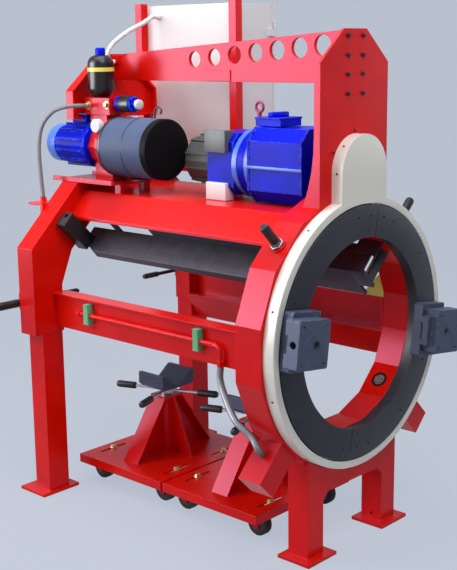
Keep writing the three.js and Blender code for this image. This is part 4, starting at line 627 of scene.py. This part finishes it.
MAGENTA = coated(
    "red_plastic", (0.42, 0.02, 0.14), (0.34, 0.015, 0.11), 0.35, wear_and_highlight=0.3, worn_and_lit=(0.6, 0.2, 0.3), dust=0.05)
PLATE_GREY = coated(
    "blank_plate", (0.15, 0.165, 0.165), (0.11, 0.12, 0.12), 0.45, metal=0.05, worn_and_lit=(0.4, 0.4, 0.4),
    dust=0.05)
HOLE = coated("deep_shadow", (0.004, 0.004, 0.005), (0.006, 0.006, 0.007), 0.7, wear_and_highlight=0.0, dust=0.0)
print(len(bpy.data.materials), "finishes")

# %% [markdown]
# Hose covers follow their tube: the braid is two sets of slanting strands, read from the UV map,
# where U runs round the hose and V is the distance along it in metres.

# %% Braid and conduit finishes


def hose_finish(name, dark, pale, round_count, along, gloss, metal):
    """Slanting strands that cross; the counts are round the hose and along each metre."""
    mat, tree, shader = new_material(name)
    split = add_node(tree, "SeparateXYZ", add_node(tree, "UVMap", uv_map="along").outputs[0])
    around = calc("MULTIPLY", split.outputs[0], round_count * tau)
    down = calc("MULTIPLY", split.outputs[1], along * tau)
    strands = [calc("SINE", calc(kind, around, down)) for kind in ("ADD", "SUBTRACT")]
    weave = calc("MAXIMUM", *strands)
    grain = fill_in(add_node(tree, "Bump"), {"Strength": 0.35, "Distance": 0.0008, "Height": weave})
    fill_in(shader, {
        "Base Color": blend(span(weave, -0.1, 0.9), dark, pale), "Metallic": metal,
        "Roughness": span(noise(object_place(tree), 40.0), 0.3, 0.7, gloss - 0.1, gloss + 0.1),
        "Normal": grain.outputs[0]})
    return mat


BRAID = hose_finish("steel_braid", (0.05, 0.055, 0.06), (0.3, 0.31, 0.34), 8.0, 130.0, 0.4, 0.5)
LOOP = hose_finish("grey_hose_cover", (0.14, 0.15, 0.17), (0.28, 0.29, 0.32), 5.0, 160.0, 0.5, 0.0)
CONDUIT = hose_finish("pale_conduit", (0.7, 0.72, 0.76), (0.78, 0.8, 0.84), 1.0, 20.0, 0.45, 0.0)
for piece, finish, slot in zip(hoses, (BRAID, LOOP, CONDUIT), ("grey_hose", "grey_hose", "white_conduit")):
    dress(piece, finish)

# %% Two-tone oil tank
# The slate tank turns black near its front end. A mask on the length picks the paint.
TANK_FRONT, TANK_REAR = low("oil_tank").y, high("oil_tank").y
BLACK_END = 34
tree = SLATE.node_tree
along_tank = add_node(tree, "SeparateXYZ", object_place(tree))
black_end = calc("LESS_THAN", along_tank.outputs["Y"], at(0, TANK_FRONT + BLACK_END, 0).y)
base = tree.nodes["Principled BSDF"].inputs["Base Color"]
feed(blend(black_end, base.links[0].from_socket, (0.006, 0.006, 0.009)), base)

# %% Dress the CAD nodes


def both(*stems, ends=("left", "right")):
    """The two nodes of each name."""
    return [f"{stem}_{end}" for stem in stems for end in ends]


TROLLEYS = ("rear", "front")
FINISH = {
    RED: ["rear_frame", "front_stand", "ring_housing", "column_plate", "arch_bar", "rear_column", "main_beam",
          "pump_tray", "manifold_block", "cabinet_frame", "oil_pipe", *both("rail", "lower_cylinder"),
          *both("deck", ends=TROLLEYS)],
    CREAM: ["ring_cover"], RING_STEEL: ["rotary_ring"],
    TOOL_STEEL: both("tool_saddle", "tool_slide") + both("saddle", ends=TROLLEYS),
    SHOE_LINING: both("clamp_shoe"), SLATE: ["oil_tank"], WHITE: ["cabinet_body", "cabinet_door"],
    BLUE: ["gear_unit", "drive_motor", "terminal_box", "pump_motor", "valve"],
    STEEL: ["ring_gear", "drive_pinion", *both("lower_rod"), *both("capstan", ends=TROLLEYS)],
    GRIP: ["door_handle", *both("front_spindle", "rear_spindle")],
    DARK_STEEL: ["bearing_race", *both("shoe_guide")], DARK_GREY: ["motor_cowl"],
    BLACK_PAINT: ["accumulator"], GREEN: both("pipe_clamp", ends=TROLLEYS),
    RUBBER: both("wheels_rear", "wheels_front", ends=("a", "b")),
    BRAID: ["hose_lower"], LOOP: ["hose_rear"], CONDUIT: ["conduit"],
}
for material, names in FINISH.items():
    for name in names:
        dress(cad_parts[name], material)
bare = [n for n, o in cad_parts.items()
        if not o.data.materials or o.data.materials[0].name.startswith("mat")]
print("nodes:", len(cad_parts), "left bare:", bare)

# %% [markdown]
# Each kind of screw is modelled once, standing on the origin, and copied. A cap screw is a drum whose
# top is inset and pushed in for the key; a hex bolt sits on a washer.

# %% Master fasteners


def cap_screw(name, radius, height):
    """A socket-head screw."""
    screw = drum(name, radius, height, 24)
    pick_top(screw)
    ops.mesh.inset(thickness=radius * 0.42)
    ops.mesh.extrude_region_move(TRANSFORM_OT_translate={"value": (0, 0, -height * 0.6)})
    close()
    return bevelled(screw, radius * 0.12, 2, 40)


def hex_bolt(name, radius, height):
    """A hexagon head on a washer."""
    washer = drum(name + "_washer", radius * 1.35, height * 0.22, 24)
    head = drum(name + "_head", radius, height, 6)
    pick_top(head)
    ops.mesh.inset(thickness=radius * 0.16)
    ops.transform.translate(value=(0, 0, height * 0.12))
    close()
    return union(name, [bevelled(washer, height * 0.05, 1), bevelled(head, radius * 0.05, 1, 20)])


BIG_SCREW = cap_screw("big_screw", 0.0078, 0.008)
SMALL_SCREW = cap_screw("small_screw", 0.005, 0.0045)
FLAT_SCREW = cap_screw("flat_screw", 0.0042, 0.0022)
SMALL_BOLT = hex_bolt("small_bolt", 0.007, 0.006)


def ringed(degrees, radius, y, z=AXIS, direction=None, size=1.0):
    """A foot at a distance from an axis, looking outward unless told otherwise."""
    out = away(degrees)
    return stand(at(0, y, z) + out * radius / 1000, direction or out, size=size)


# %% Column and gear-flange bolts
COLUMN_FACE = low("column_plate").y
FLANGE_BOLTS = 148
places = [stand(at(x, COLUMN_FACE, z), FRONT) for x in (-45, 45) for z in (1945, 1876, 1808, 1738)]
places += [ringed(v, FLANGE_BOLTS, COLUMN_FACE, PINION, FRONT, 0.6) for v in (-30, 30, 90, 150, 210)]
spread("column_screws", BIG_SCREW, places, "frame", DARK_STEEL)

# %% Cover screws
# The cream cover is held by button screws all round its side wall and round the nose.
COVER_RADIUS, NOSE_RADIUS, COVER_OPENING = 521, 137, 492
SCREW_LINE = 30
cover_half = (high("ring_cover").x - low("ring_cover").x) / 2
places = [ringed(125 + k * 290 / 8, cover_half * 0.9995, SCREW_LINE) for k in range(9)]
places += [ringed(v, NOSE_RADIUS * 0.999, SCREW_LINE, PINION) for v in (0, 45, 90, 135, 180)]
spread("cover_screws", FLAT_SCREW, places, "frame", DARK_STEEL)

# %% [markdown]
# The turning ring is two halves bolted together; the joint shows as a fine line at the top and the
# bottom of the black face, with screws on either side.

# %% Ring joint and ring screws
JOINT = 80
JOINT_SCREWS = (JOINT - 5.5, JOINT + 5.5, JOINT + 174.5, JOINT + 185.5)
UNDER_SLIDES = (3, 9)
lines = []
for degrees in (JOINT, JOINT + 180):
    strip = block("joint", (0.098, 0.001, 0.0012))
    strip.data.transform(Matrix.Translation(at(0, -0.3, AXIS) + away(degrees) * 0.417)
                         @ Matrix.Rotation(-radians(degrees), 4, "Y"))
    lines.append(bevelled(strip, 0.0003, 1))
put(union("ring_joint_lines", lines), Matrix(), HOLE, body="tool_ring")
places = [ringed(v, radius, 0, direction=FRONT) for v in JOINT_SCREWS for radius in (392, 446)]
places += [ringed(JOINT + 15 + 30 * k, 447, 0, direction=FRONT) for k in range(12) if k not in UNDER_SLIDES]
spread("ring_screws", FLAT_SCREW, places, "tool_ring", DARK_STEEL)

# %% [markdown]
# The CAD grips are plain; the real ones are black moulded sleeves with a swollen middle, and every
# front screw has a steel collar.

# %% Sleeves on the capstan arms and the clamp screws


def grip_sleeve(name, radius, long):
    """A moulded sleeve about Z whose foot is at the origin."""
    shares = [(0, 0), (0.66, 0), (0.95, 0.03), (1.01, 0.14), (0.99, 0.5), (1.02, 0.86), (0.86, 0.97),
              (0.5, 1.01), (0, 1.01)]
    return lathe(name, [(radius * r, long * h) for r, h in shares], 28)


TROLLEY_Y = {"rear": 1085, "front": 548}
ARM_HEIGHT = 390 + 0.3 + 17
ARM_FOOT = 0.1545
sleeve = grip_sleeve("arm_sleeve", 15.6, 96)
arms = [away(20 + 90 * k).xzy for k in range(4)]
for end, y in TROLLEY_Y.items():
    places = [stand(at(0, y, ARM_HEIGHT) + out * ARM_FOOT, out) for out in arms]
    spread("arm_sleeves_" + end, sleeve, places, "nut_" + end, GRIP)

SCREW_Y, REAR_SCREW_Y = 106, 1436
collar = bevelled(drum("screw_collar", 0.0262, 0.0096, 6), 0.001, 2, 20)
ferrule = lathe("screw_ferrule", [(0, 0), (15, 0), (15, 5), (13.6, 7), (0, 7)], 24)
front_parts = (("screw_sleeve_", grip_sleeve("screw_sleeve", 17.4, 93), 549.8, GRIP, "black_plastic"),
               ("screw_collar_", collar, 536.6, STEEL, "bare_steel"),
               ("screw_ferrule_", ferrule, 545.2, STEEL, "bare_steel"))
rear_rod = lathe("rear_rod", [(0, 0), (8.5, 0), (8.5, 216), (0, 216)], 24)
rear_parts = (("rear_sleeve_", grip_sleeve("rear_sleeve", 17.4, 118), 522.5, GRIP, "black_plastic"),
              ("rear_rod_", rear_rod, 299, DARK_STEEL, "bare_steel"))
for side_, degrees in (("left", 135), ("right", 45)):
    for name, master, radius, finish, slot in front_parts:
        spread(name + side_, master, [ringed(degrees, radius, SCREW_Y)], "screw_" + side_, finish)
for side_, sign in (("left", -1), ("right", 1)):
    for name, master, x, finish, slot in rear_parts:
        spread(name + side_, master, [stand(at(sign * x, REAR_SCREW_Y, AXIS), (sign, 0, 0))],
               "rear_screw_" + side_, finish)
print("sleeves and collars set")

# %% [markdown]
# The trolleys roll on solid rubber tyres with a steel hub, under swivel plates. Zinc bolts clamp the
# decks through their slots.

# %% Tyres, hubs and swivel plates
WHEEL_X, WHEEL_Y, WHEEL_HEIGHT = 208, 200, 50.4
BOLT_X, BOLT_Y = 148, 205
SWIVEL_HEIGHT, BOLT_HEIGHT = 113.9, 121.9
tyre = lathe("tyre", [(31, -16.3), (46, -16.3), (49.2, -14), (50.3, -9), (50.3, 9), (49.2, 14), (46, 16.3),
                      (31, 16.3), (31, -16.3)], 56)
hub = lathe("hub", [(0, -17), (13, -17), (14, -16.4), (32, -16.2), (32, 16.2), (14, 16.4), (13, 17), (0, 17)],
            32)
swivel = lathe("swivel", [(0, -7), (27, -7), (31, -4), (31, 0), (0, 0)], 36)
slot_bolt = hex_bolt("slot_bolt", 0.0125, 0.01)
for end, y in TROLLEY_Y.items():
    for pair, step in (("a", -WHEEL_Y), ("b", WHEEL_Y)):
        places = [stand(at(x, y + step, WHEEL_HEIGHT), RIGHT) for x in (-WHEEL_X, WHEEL_X)]
        body = f"wheelset_{end}_{pair}"
        spread(f"tyres_{end}_{pair}", tyre, places, body, RUBBER)
        spread(f"hubs_{end}_{pair}", hub, places, body, DARK_STEEL)
for end, y in TROLLEY_Y.items():
    swivels = [stand(at(x, y + step, SWIVEL_HEIGHT)) for x in (-WHEEL_X, WHEEL_X)
               for step in (-WHEEL_Y, WHEEL_Y)]
    spread("swivels_" + end, swivel, swivels, "trolley_" + end, ZINC)
    bolts = [stand(at(x, y + step, BOLT_HEIGHT), roll=0.4 + step) for x in (-BOLT_X, BOLT_X)
             for step in (-BOLT_Y, BOLT_Y)]
    spread("slot_bolts_" + end, slot_bolt, bolts, "trolley_" + end, ZINC)
print("trolleys shod")

# %% [markdown]
# The power pack: a dished black end and two bands on the tank, a blue cap and a yellow band on the
# bottle, a white end on the valve, and a light blue fan cowl behind the pump motor.

# %% Tank end, bands and fittings
PACK_X, PACK_Z = -150, 1500
TANK_RADIUS, TANK_LONG = 126, TANK_REAR - TANK_FRONT


def pack(y, z=0):
    """A place on the power pack, measured from the tank's axis."""
    return at(PACK_X, y, PACK_Z + z)


turned("tank_shell", [(0, 0), (118, 0), (124, 1.6), (TANK_RADIUS, 5), (TANK_RADIUS, TANK_LONG),
                      (0, TANK_LONG)], 112, pack(TANK_FRONT), REAR, SLATE, "oil_tank")
turned("tank_dish", [(0, 0), (0, 3.4), (70, 3), (112, 2.2), (118.6, 1), (119, 0), (0, 0)], 96,
       pack(TANK_FRONT), FRONT, MATT_BLACK)
for k, (y, wide) in enumerate(((TANK_REAR - 14, 8), (TANK_REAR - 150, 2.4))):
    turned(f"tank_band_{k}", hoop(TANK_RADIUS - 2, TANK_RADIUS + 1.4, 0, wide), 96, pack(y), REAR,
           BLACK_PAINT)
BOTTLE_Y, BOTTLE_FOOT = 1287, 205
turned("bottle", [(0, 0), (32, 0), (36, 6), (47, 17), (54, 28), (56, 38), (56, 141), (54.5, 150), (50, 160),
                  (41, 170), (28, 176), (20, 179), (20, 204), (17, 207), (0, 207)], 64,
       pack(BOTTLE_Y, BOTTLE_FOOT + 0.3), UP, BLACK_PAINT, "accumulator")
turned("bottle_band", [(54, 0), (57.2, 0.6), (57.2, 17.4), (54, 18), (54, 0)], 48,
       pack(BOTTLE_Y, BOTTLE_FOOT + 108), UP, YELLOW)
turned("bottle_cap", [(0, 0), (21.5, 0), (21.5, 22), (18, 29.5), (0, 29.5)], 32,
       pack(BOTTLE_Y, BOTTLE_FOOT + 179), UP, BLUE)
VALVE_FRONT, VALVE_REAR = low("valve").y, high("valve").y
VALVE_Z = (low("valve").z + high("valve").z) / 2
valve_long = VALVE_REAR - VALVE_FRONT
turned("valve_body", [(0, 0), (20, 0), (20, 14), (33, 18), (33, 108), (29, 112), (20, 112),
                      (20, valve_long - 10), (15, valve_long), (0, valve_long)], 56,
       at(PACK_X, VALVE_REAR, VALVE_Z), FRONT, BLUE, "valve")
turned("valve_coil", [(0, 0), (34.6, 0), (35.2, 3), (35.2, 58), (34.4, 61), (0, 61)], 40,
       at(PACK_X, VALVE_FRONT + 46, VALVE_Z), REAR, BLACK_PAINT)
turned("valve_end", [(0, 0), (16.5, 0), (20.6, 3), (20.6, 17), (0, 17)], 32,
       at(PACK_X, VALVE_FRONT - 1, VALVE_Z), REAR, WHITE)
print("tank from", round(TANK_FRONT), "to", round(TANK_REAR), "mm, valve at height", round(VALVE_Z))

HOOK = ((960, 1622), (960, 1650), (950, 1668), (932, 1672), (920, 1658), (926, 1645))
put(tube("tank_hook", smooth_route([at(PACK_X, y, z) for y, z in HOOK], 8), 0.0042, 14), Matrix(), DARK_STEEL)

# %% Pump motor cowl and terminal box
MOTOR_REAR = high("pump_motor").y
turned("fan_cowl", [(80.8, -60), (82.5, -58), (82.5, -12), (76, -1), (62, 1), (0, 1), (0, -60),
                    (80.8, -60)], 48, pack(MOTOR_REAR), REAR, PALE_BLUE_AND_HIGHLIGHT)
vent = drum("vent", 0.0042, 0.0016, 10)
lying_back = Matrix.Rotation(-pi / 2, 4, "X")
vents = [Matrix.Translation(pack(MOTOR_REAR + 0.4) + away(360 * k / count) * ring / 1000) @ lying_back
         for ring, count in ((28, 8), (46, 14), (62, 20)) for k in range(count)]
spread("fan_vents", vent, vents, "frame", HOLE)
MOTOR_BOX_Y = MOTOR_REAR - 190
boxed("pump_terminal_box", (0.084, 0.092, 0.036), pack(MOTOR_BOX_Y, 112), BLUE)
boxed("pump_terminal_lid", (0.088, 0.096, 0.006), pack(MOTOR_BOX_Y, 132), PALE_BLUE_AND_HIGHLIGHT, 0.0015, 2)

# %% Fittings on the manifold
nuts = [stand(at(PACK_X - x, y, PACK_Z + z), LEFT) for x, y, z in
        ((44.5, 1322, 171), (43, 1206, 176), (39, 1250, 70))]
spread("union_nuts", hex_bolt("union_nut", 0.013, 0.014), nuts, "frame", ZINC)
turned("gauge", [(0, 0), (9, 0), (9, 14), (27, 16), (29, 19), (29, 40), (26, 43), (0, 43)], 40,
       at(PACK_X - 66, 1212, PACK_Z + 92), LEFT, WHITE)
print("power pack dressed")

# %% [markdown]
# The gearmotor: rims round its flange painted pale blue as highlights, pale strips on its sides
# painted as highlights, bolts, a grey and a white box, a handle on the terminal box and a lifting eye
# behind it.

# %% Gearmotor details
FLANGE_REAR = high("gear_unit").y
UNIT_HALF, UNIT_MIDDLE = 142.4, 325.5
turned("flange_sleeve", hoop(128, 132.6, -87, -0.5), 96, at(0, FLANGE_REAR, PINION), REAR, BLUE)
# The pale blue rims are painted highlights on the flange's raised bands.
for k, (from_, to_) in enumerate(((-86, -64), (-26, 0))):
    turned(f"flange_rim_{k}", [(130, from_), (136, from_ + 1.5), (136, to_ - 1.5), (134.5, to_), (130, to_),
                               (130, from_)], 96, at(0, FLANGE_REAR, PINION), REAR, PALE_BLUE_AND_HIGHLIGHT)
motor_bolts = [ringed(30 + 60 * k, 108, 690.2, PINION, REAR) for k in range(6)]
spread("motor_bolts", SMALL_BOLT, motor_bolts, "frame", DARK_STEEL)
# A pale strip on each side of the gear unit is a painted highlight along its band.
for k, x in enumerate((-UNIT_HALF, UNIT_HALF)):
    boxed(f"unit_seam_{k}", (0.003, 0.271, 0.012), at(x, UNIT_MIDDLE, PINION), PALE_BLUE_AND_HIGHLIGHT,
          0.001, 2)
boxed("connection_box", (0.052, 0.108, 0.084), at(-114, 629, 1548), PLATE_GREY)
boxed("connection_lid", (0.006, 0.112, 0.088), at(-142, 629, 1548), PLATE_GREY, 0.0015, 2)
boxed("white_box", (0.05, 0.108, 0.07), at(-114, 632, 1349), WHITE, 0.003)
boxed("terminal_handle", (0.104, 0.026, 0.02), at(0, 420, high("terminal_box").z + 9), BLUE,
      0.006)
eye = primitive("lifting_eye", ops.mesh.primitive_torus_add, major_radius=0.019, minor_radius=0.006,
                major_segments=40, minor_segments=14)
eye.data.transform(Matrix.Translation((0, 0, 0.089)) @ Z_TO_X)
eye_parts = [eye, drum("eye_stem", 0.009, 0.07, 24), drum("eye_foot", 0.018, 0.01, 24)]
put(smoothed(union("lifting_eye", eye_parts)), stand(at(0, 518, PINION + 131)), MAGENTA)
print("gearmotor dressed")

# %% [markdown]
# The turned parts of the ring head have forty flat sides in the CAD step, too few for a picture. Each
# is turned again from the same radii with more sides and stands in for its CAD node. The cover is a
# keyhole: a round with a smaller round for its nose, and a wall behind the edge.

# %% Turned ring, bearing race and keyhole cover
turned("tool_ring_plate", [(365, 0.8), (365.8, 0), (485, 0), (487.2, 0.9), (488, 3), (488, 20), (365, 20),
                           (365, 0.8)], 160, at(0, 0, AXIS), REAR, RING_STEEL, "rotary_ring",
       "tool_ring")
turned("turned_race", hoop(374, 418.5, 24, 53.7), 144, at(0, 0, AXIS), REAR, DARK_STEEL,
       "bearing_race")


def arc(radius, height, start, turn_, sides):
    """Points round a place above the ring's foot, in drawing millimetres, both ends included."""
    angles = [start + turn_ * k / sides for k in range(sides + 1)]
    return [(radius * cos(a), height + radius * sin(a)) for a in angles]


def keyhole(radius, nose_radius):
    """The outline of the cover, clockwise from the right of the nose."""
    start = acos(nose_radius / radius)
    return arc(radius, AXIS, start, -pi - 2 * start, 120) + arc(nose_radius, PINION, pi, -pi, 48)


def sheet_of(name, outlines, front, rear, round_):
    """A plate cut to closed outlines, with a rounded rim."""
    curve = bpy.data.curves.new(name, "CURVE")
    curve.dimensions = "2D"
    curve.fill_mode = "BOTH"
    curve.extrude = (rear - front) / 2000 - round_
    curve.bevel_depth = round_
    curve.bevel_resolution = 3
    curve.offset = -round_
    for points in outlines:
        line = curve.splines.new("POLY")
        line.points.add(len(points) - 1)
        for point, (x, z) in zip(line.points, points):
            point.co = (x / 1000, (z - AXIS) / 1000, 0, 1)
        line.use_cyclic_u = True
    obj = linked(name, curve)
    take(obj)
    ops.object.convert(target="MESH")
    obj = bpy.context.object
    middle = Matrix.Translation(at(0, (front + rear) / 2, AXIS))
    obj.data.transform(middle @ Matrix.Rotation(pi / 2, 4, "X"))
    return smoothed(face_outward(obj, merge=True))


outer_edge = keyhole(COVER_RADIUS, NOSE_RADIUS)
inner_edge = keyhole(COVER_RADIUS - 5, NOSE_RADIUS - 5)
cover_face = sheet_of("cover_face", [outer_edge, arc(COVER_OPENING, AXIS, 0, tau, 144)[:-1]], 4, 8, 0.0013)
cover_wall = sheet_of("cover_wall", [outer_edge, inner_edge], 6, 53.7, 0.0008)
cover = union("keyhole_cover", [cover_face, cover_wall])
settle(cover, "frame", CREAM, "ring_cover")

# %% [markdown]
# Each upper shoe is a long folded plate: a flat face with a cut corner, a low edge along its bottom
# and a tall flange along its top, with two openings near its rear end. It is built on its side, in
# the drawing's numbers (along the machine, across the face, out from the ring), and then turned.

# %% Folded shoes
TUBE = [(0, 0), (22, 0), (22, 150), (20.5, 151), (15, 151), (15, 3), (0, 3)]
ROD = [(0, 0), (10, 0), (10, 160), (8.5, 161.5), (0, 161.5)]
SHEET = 14
TILT = Matrix.Rotation(radians(-45), 4, "Y")


def shoe_plate(name, outline, inner, outer):
    """A plate cut to an outline of along and across, between two distances from the axis."""
    near, far = ([(r / 1000, y / 1000, t / 1000) for y, t in outline] for r in (inner, outer))
    return prism(name, near, far, 0.0016)


def shoe_bar(from_, to_, across, thick, inner, outer):
    return shoe_plate("bar", [(from_, across), (to_, across), (to_, across + thick), (from_, across + thick)],
                      inner, outer)


def folded_shoe(side_, face, bottom, flange):
    """face is the plate's distance from the axis; flange lists from, to and outer distance."""
    back = face + SHEET
    sheet = [(150, bottom), (1187, bottom), (1306, -8), (1306, 72), (150, 72)]
    parts = [shoe_plate("face", sheet, face, back),
             shoe_bar(82, 151, -26, 98, face, back), shoe_bar(184, 1176, bottom, 8, back - 1, back + 24)]
    parts += [shoe_bar(from_, to_, 63.5, 8.5, back - 1, outer) for from_, to_, outer in flange]
    for name, profile, sides, y in (("tube", TUBE, 48, 0.106), ("rod", ROD, 36, 1.28)):
        stub = lathe(name, profile, sides)
        stub.data.transform(Matrix.Translation(((back - 1) / 1000, y, 0)) @ Z_TO_X)
        parts.append(stub)
    shoe = union("folded_shoe_" + side_, parts)
    shoe.data.transform(TILT)
    if side_ == "left":
        shoe.data.transform(Matrix.Scale(-1, 4, (1, 0, 0)))
        shoe.data.flip_normals()
    put(shoe, AT_AXIS, SHOE_LINING, "clamp_shoe_" + side_, "shoe_" + side_)


folded_shoe("left", 344, -66, [(184, 918, 428), (1116, 1153, 428)])
folded_shoe("right", 219, -88, [(179, 918, 351), (1116, 1153, 351), (92, 180, 309)])
print("turned parts and flanges made")

# %% [markdown]
# The ring and the clamps take their last parts: a rim round each slide's hole with four screws about
# it, a yellow strip painted as a highlight along the right shoe's tube, a gusset beside the right shoe, a
# dark sheet in the bore that stands for shade, and the rod seals.

# %% Tool slide details
RING_TURN = 180 / 23
SLIDE_FACE = -102.3
bore_ring = lathe("bore_ring", [(11.4, 0), (17, 0), (17.6, 1.4), (11.8, 1.8), (11.4, 0)], 36)
for side_, degrees in (("left", 180 - RING_TURN), ("right", -RING_TURN)):
    spread("bore_ring_" + side_, bore_ring, [ringed(degrees, 420, SLIDE_FACE, direction=FRONT)],
           "feed_" + side_, DARK_STEEL)
    out, up = away(degrees), away(degrees + 90)
    heads = [stand(at(0, SLIDE_FACE, AXIS) + out * r + up * u, FRONT, size=0.7)
             for r in (0.375, 0.495) for u in (-0.066, 0.066)]
    spread("slide_screws_" + side_, SMALL_SCREW, heads, "feed_" + side_, DARK_STEEL)

# %% Clamp details
# The yellow strip is a painted highlight along the tube; it lies flush in the tube's upper side, so that it
# still passes through the housing.
out = away(45)
outward = (away(135) * 0.965 + Vector((0, 0.26, 0))).normalized()
set_in = Matrix((out, outward.cross(out), outward)).transposed().to_4x4()
strip_place = Matrix.Translation(at(0, SCREW_Y, AXIS) + out * 0.302 + outward * 0.0214) @ set_in
put(bevelled(block("yellow_strip", (0.136, 0.0085, 0.0016)), 0.0003, 1), strip_place, YELLOW,
    body="shoe_right")
# A dark sheet fixed in the bore, where only shade is seen: painted shade.
shade_sheet = union("bore_guard", [shoe_bar(62, 176, 75, 4, 300, 371.4)])
put(shade_sheet, AT_AXIS @ TILT, SHOE_LINING)
GUSSET = [(174.5, 895.3), (284, 895.3), (174.5, 1018)]
gusset = prism("yellow_gusset", *([at(x, y, z) for y, z in GUSSET] for x in (373, 381)), 0.001)
put(gusset, Matrix(), YELLOW)
print("ring and clamps dressed")

# %% Seals round the lower rods
seal = lathe("rod_seal", [(23.8, 0), (33, 0), (33, 1.6), (31, 2.6), (25, 2.6), (23.8, 1.8), (23.8, 0)], 48)
for side_, degrees in (("left", 225), ("right", 315)):
    spread("rod_seal_" + side_, seal, [ringed(degrees, 371.9, ROD_Y, direction=-away(degrees))], "frame",
           MATT_BLACK)

# %% [markdown]
# Last come the floor and the light. The pale floor runs up into a backdrop. To the camera and in a
# reflection it keeps one even colour; otherwise it is a matt surface that takes the shadow.

# %% Floor and backdrop
PALE = (0.545, 0.6, 0.7)
BACK, CURVE, TOP, HALF_WIDE = 5.0, 3, 12, 14
bend = [radians(v) for v in range(5, 91, 5)]
sweep = [(-HALF_WIDE, 0), (BACK, 0), (BACK + CURVE, TOP)]
sweep[2:2] = [(BACK + CURVE * sin(a), CURVE - CURVE * cos(a)) for a in bend]
facing_away = Vector((ahead.x, ahead.y, 0)).normalized()
sideways = Vector((facing_away.y, -facing_away.x, 0))
verts = [facing_away * d + sideways * s + Vector((0, 0, z - 0.0005)) for s in (-HALF_WIDE, HALF_WIDE)
         for d, z in sweep]
count = len(sweep)
faces = [(i + count, i + count + 1, i + 1, i) for i in range(count - 1)]
floor = mesh_piece("studio_floor", verts, [], faces)
floor.data.shade_smooth()
floor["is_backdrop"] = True


def by_ray(lit, seen, share, target):
    """Shows one shader to the camera and in reflections, and another to the light."""
    kind = add_node(target.id_data, "LightPath").outputs
    ray = calc("MAXIMUM", kind["Is Camera Ray"], kind["Is Glossy Ray"])
    mix = add_node(target.id_data, "MixShader", calc("MULTIPLY", ray, share), lit, seen)
    feed(mix.outputs[0], target.inputs["Surface"])


studio, tree, shader = new_material("studio_floor")
fill_in(shader, {"Roughness": 0.9, "Specular IOR Level": 0.1, "Base Color": (0.6, 0.62, 0.66)})
glow = add_node(tree, "Emission", PALE, 1.0)
by_ray(shader.outputs[0], glow.outputs[0], 0.82, tree.nodes["Material Output"])
floor.data.materials.append(studio)

# %% World and lamps
world = bpy.data.worlds.new("studio")
bpy.context.scene.world = world
world.use_nodes = True
tree = world.node_tree
backdrop = fill_in(tree.nodes["Background"], {"Color": PALE})
fill = add_node(tree, "Background", (0.9, 0.93, 1.0), 0.15)
by_ray(fill.outputs[0], backdrop.outputs[0], 1.0, tree.nodes["World Output"])


def softbox(name, place, target, size, watts, colour=(1, 1, 1)):
    """A square area lamp at a place, aimed at a target."""
    lamp = bpy.data.lights.new(name, "AREA")
    lamp.shape = "RECTANGLE"
    lamp.size, lamp.size_y = size
    lamp.energy = watts
    lamp.color = colour
    obj = linked(name, lamp)
    obj.location = place
    obj.rotation_euler = (Vector(target) - Vector(place)).to_track_quat("-Z", "Y").to_euler()
    return obj


softbox("key", (-1.2, -2.3, 4.3), (0, -0.4, 1.5), (2.2, 2.2), 78)
softbox("left_panel", (-3.5, 2.2, 3.3), (-0.2, 0, 1.6), (3.4, 2.2), 115)
softbox("top_panel", (-0.6, 0.2, 4.6), (0, 0, 0.9), (3.0, 3.0), 105)
softbox("right_fill", (3.8, -1.8, 2.2), (0, 0, 0.9), (2.0, 2.0), 20)
shine_panel = softbox("shine_panel", (-4.3, 3.2, 1.9), (-0.3, 0, 1.4), (4.0, 2.6), 400, (1.0, 0.97, 0.99))
shine_panel.visible_diffuse = False
bpy.context.scene.view_settings.view_transform = "Standard"

# %% Print the sizes and finish
for master in spares:
    bpy.data.objects.remove(master)
seen_low, seen_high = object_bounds()
grown = [round((a - b) * 1000, 1) for a, b in zip((*seen_low, *seen_high), (*CAD_LOW, *CAD_HIGH))]
print("grown by", grown, "mm")
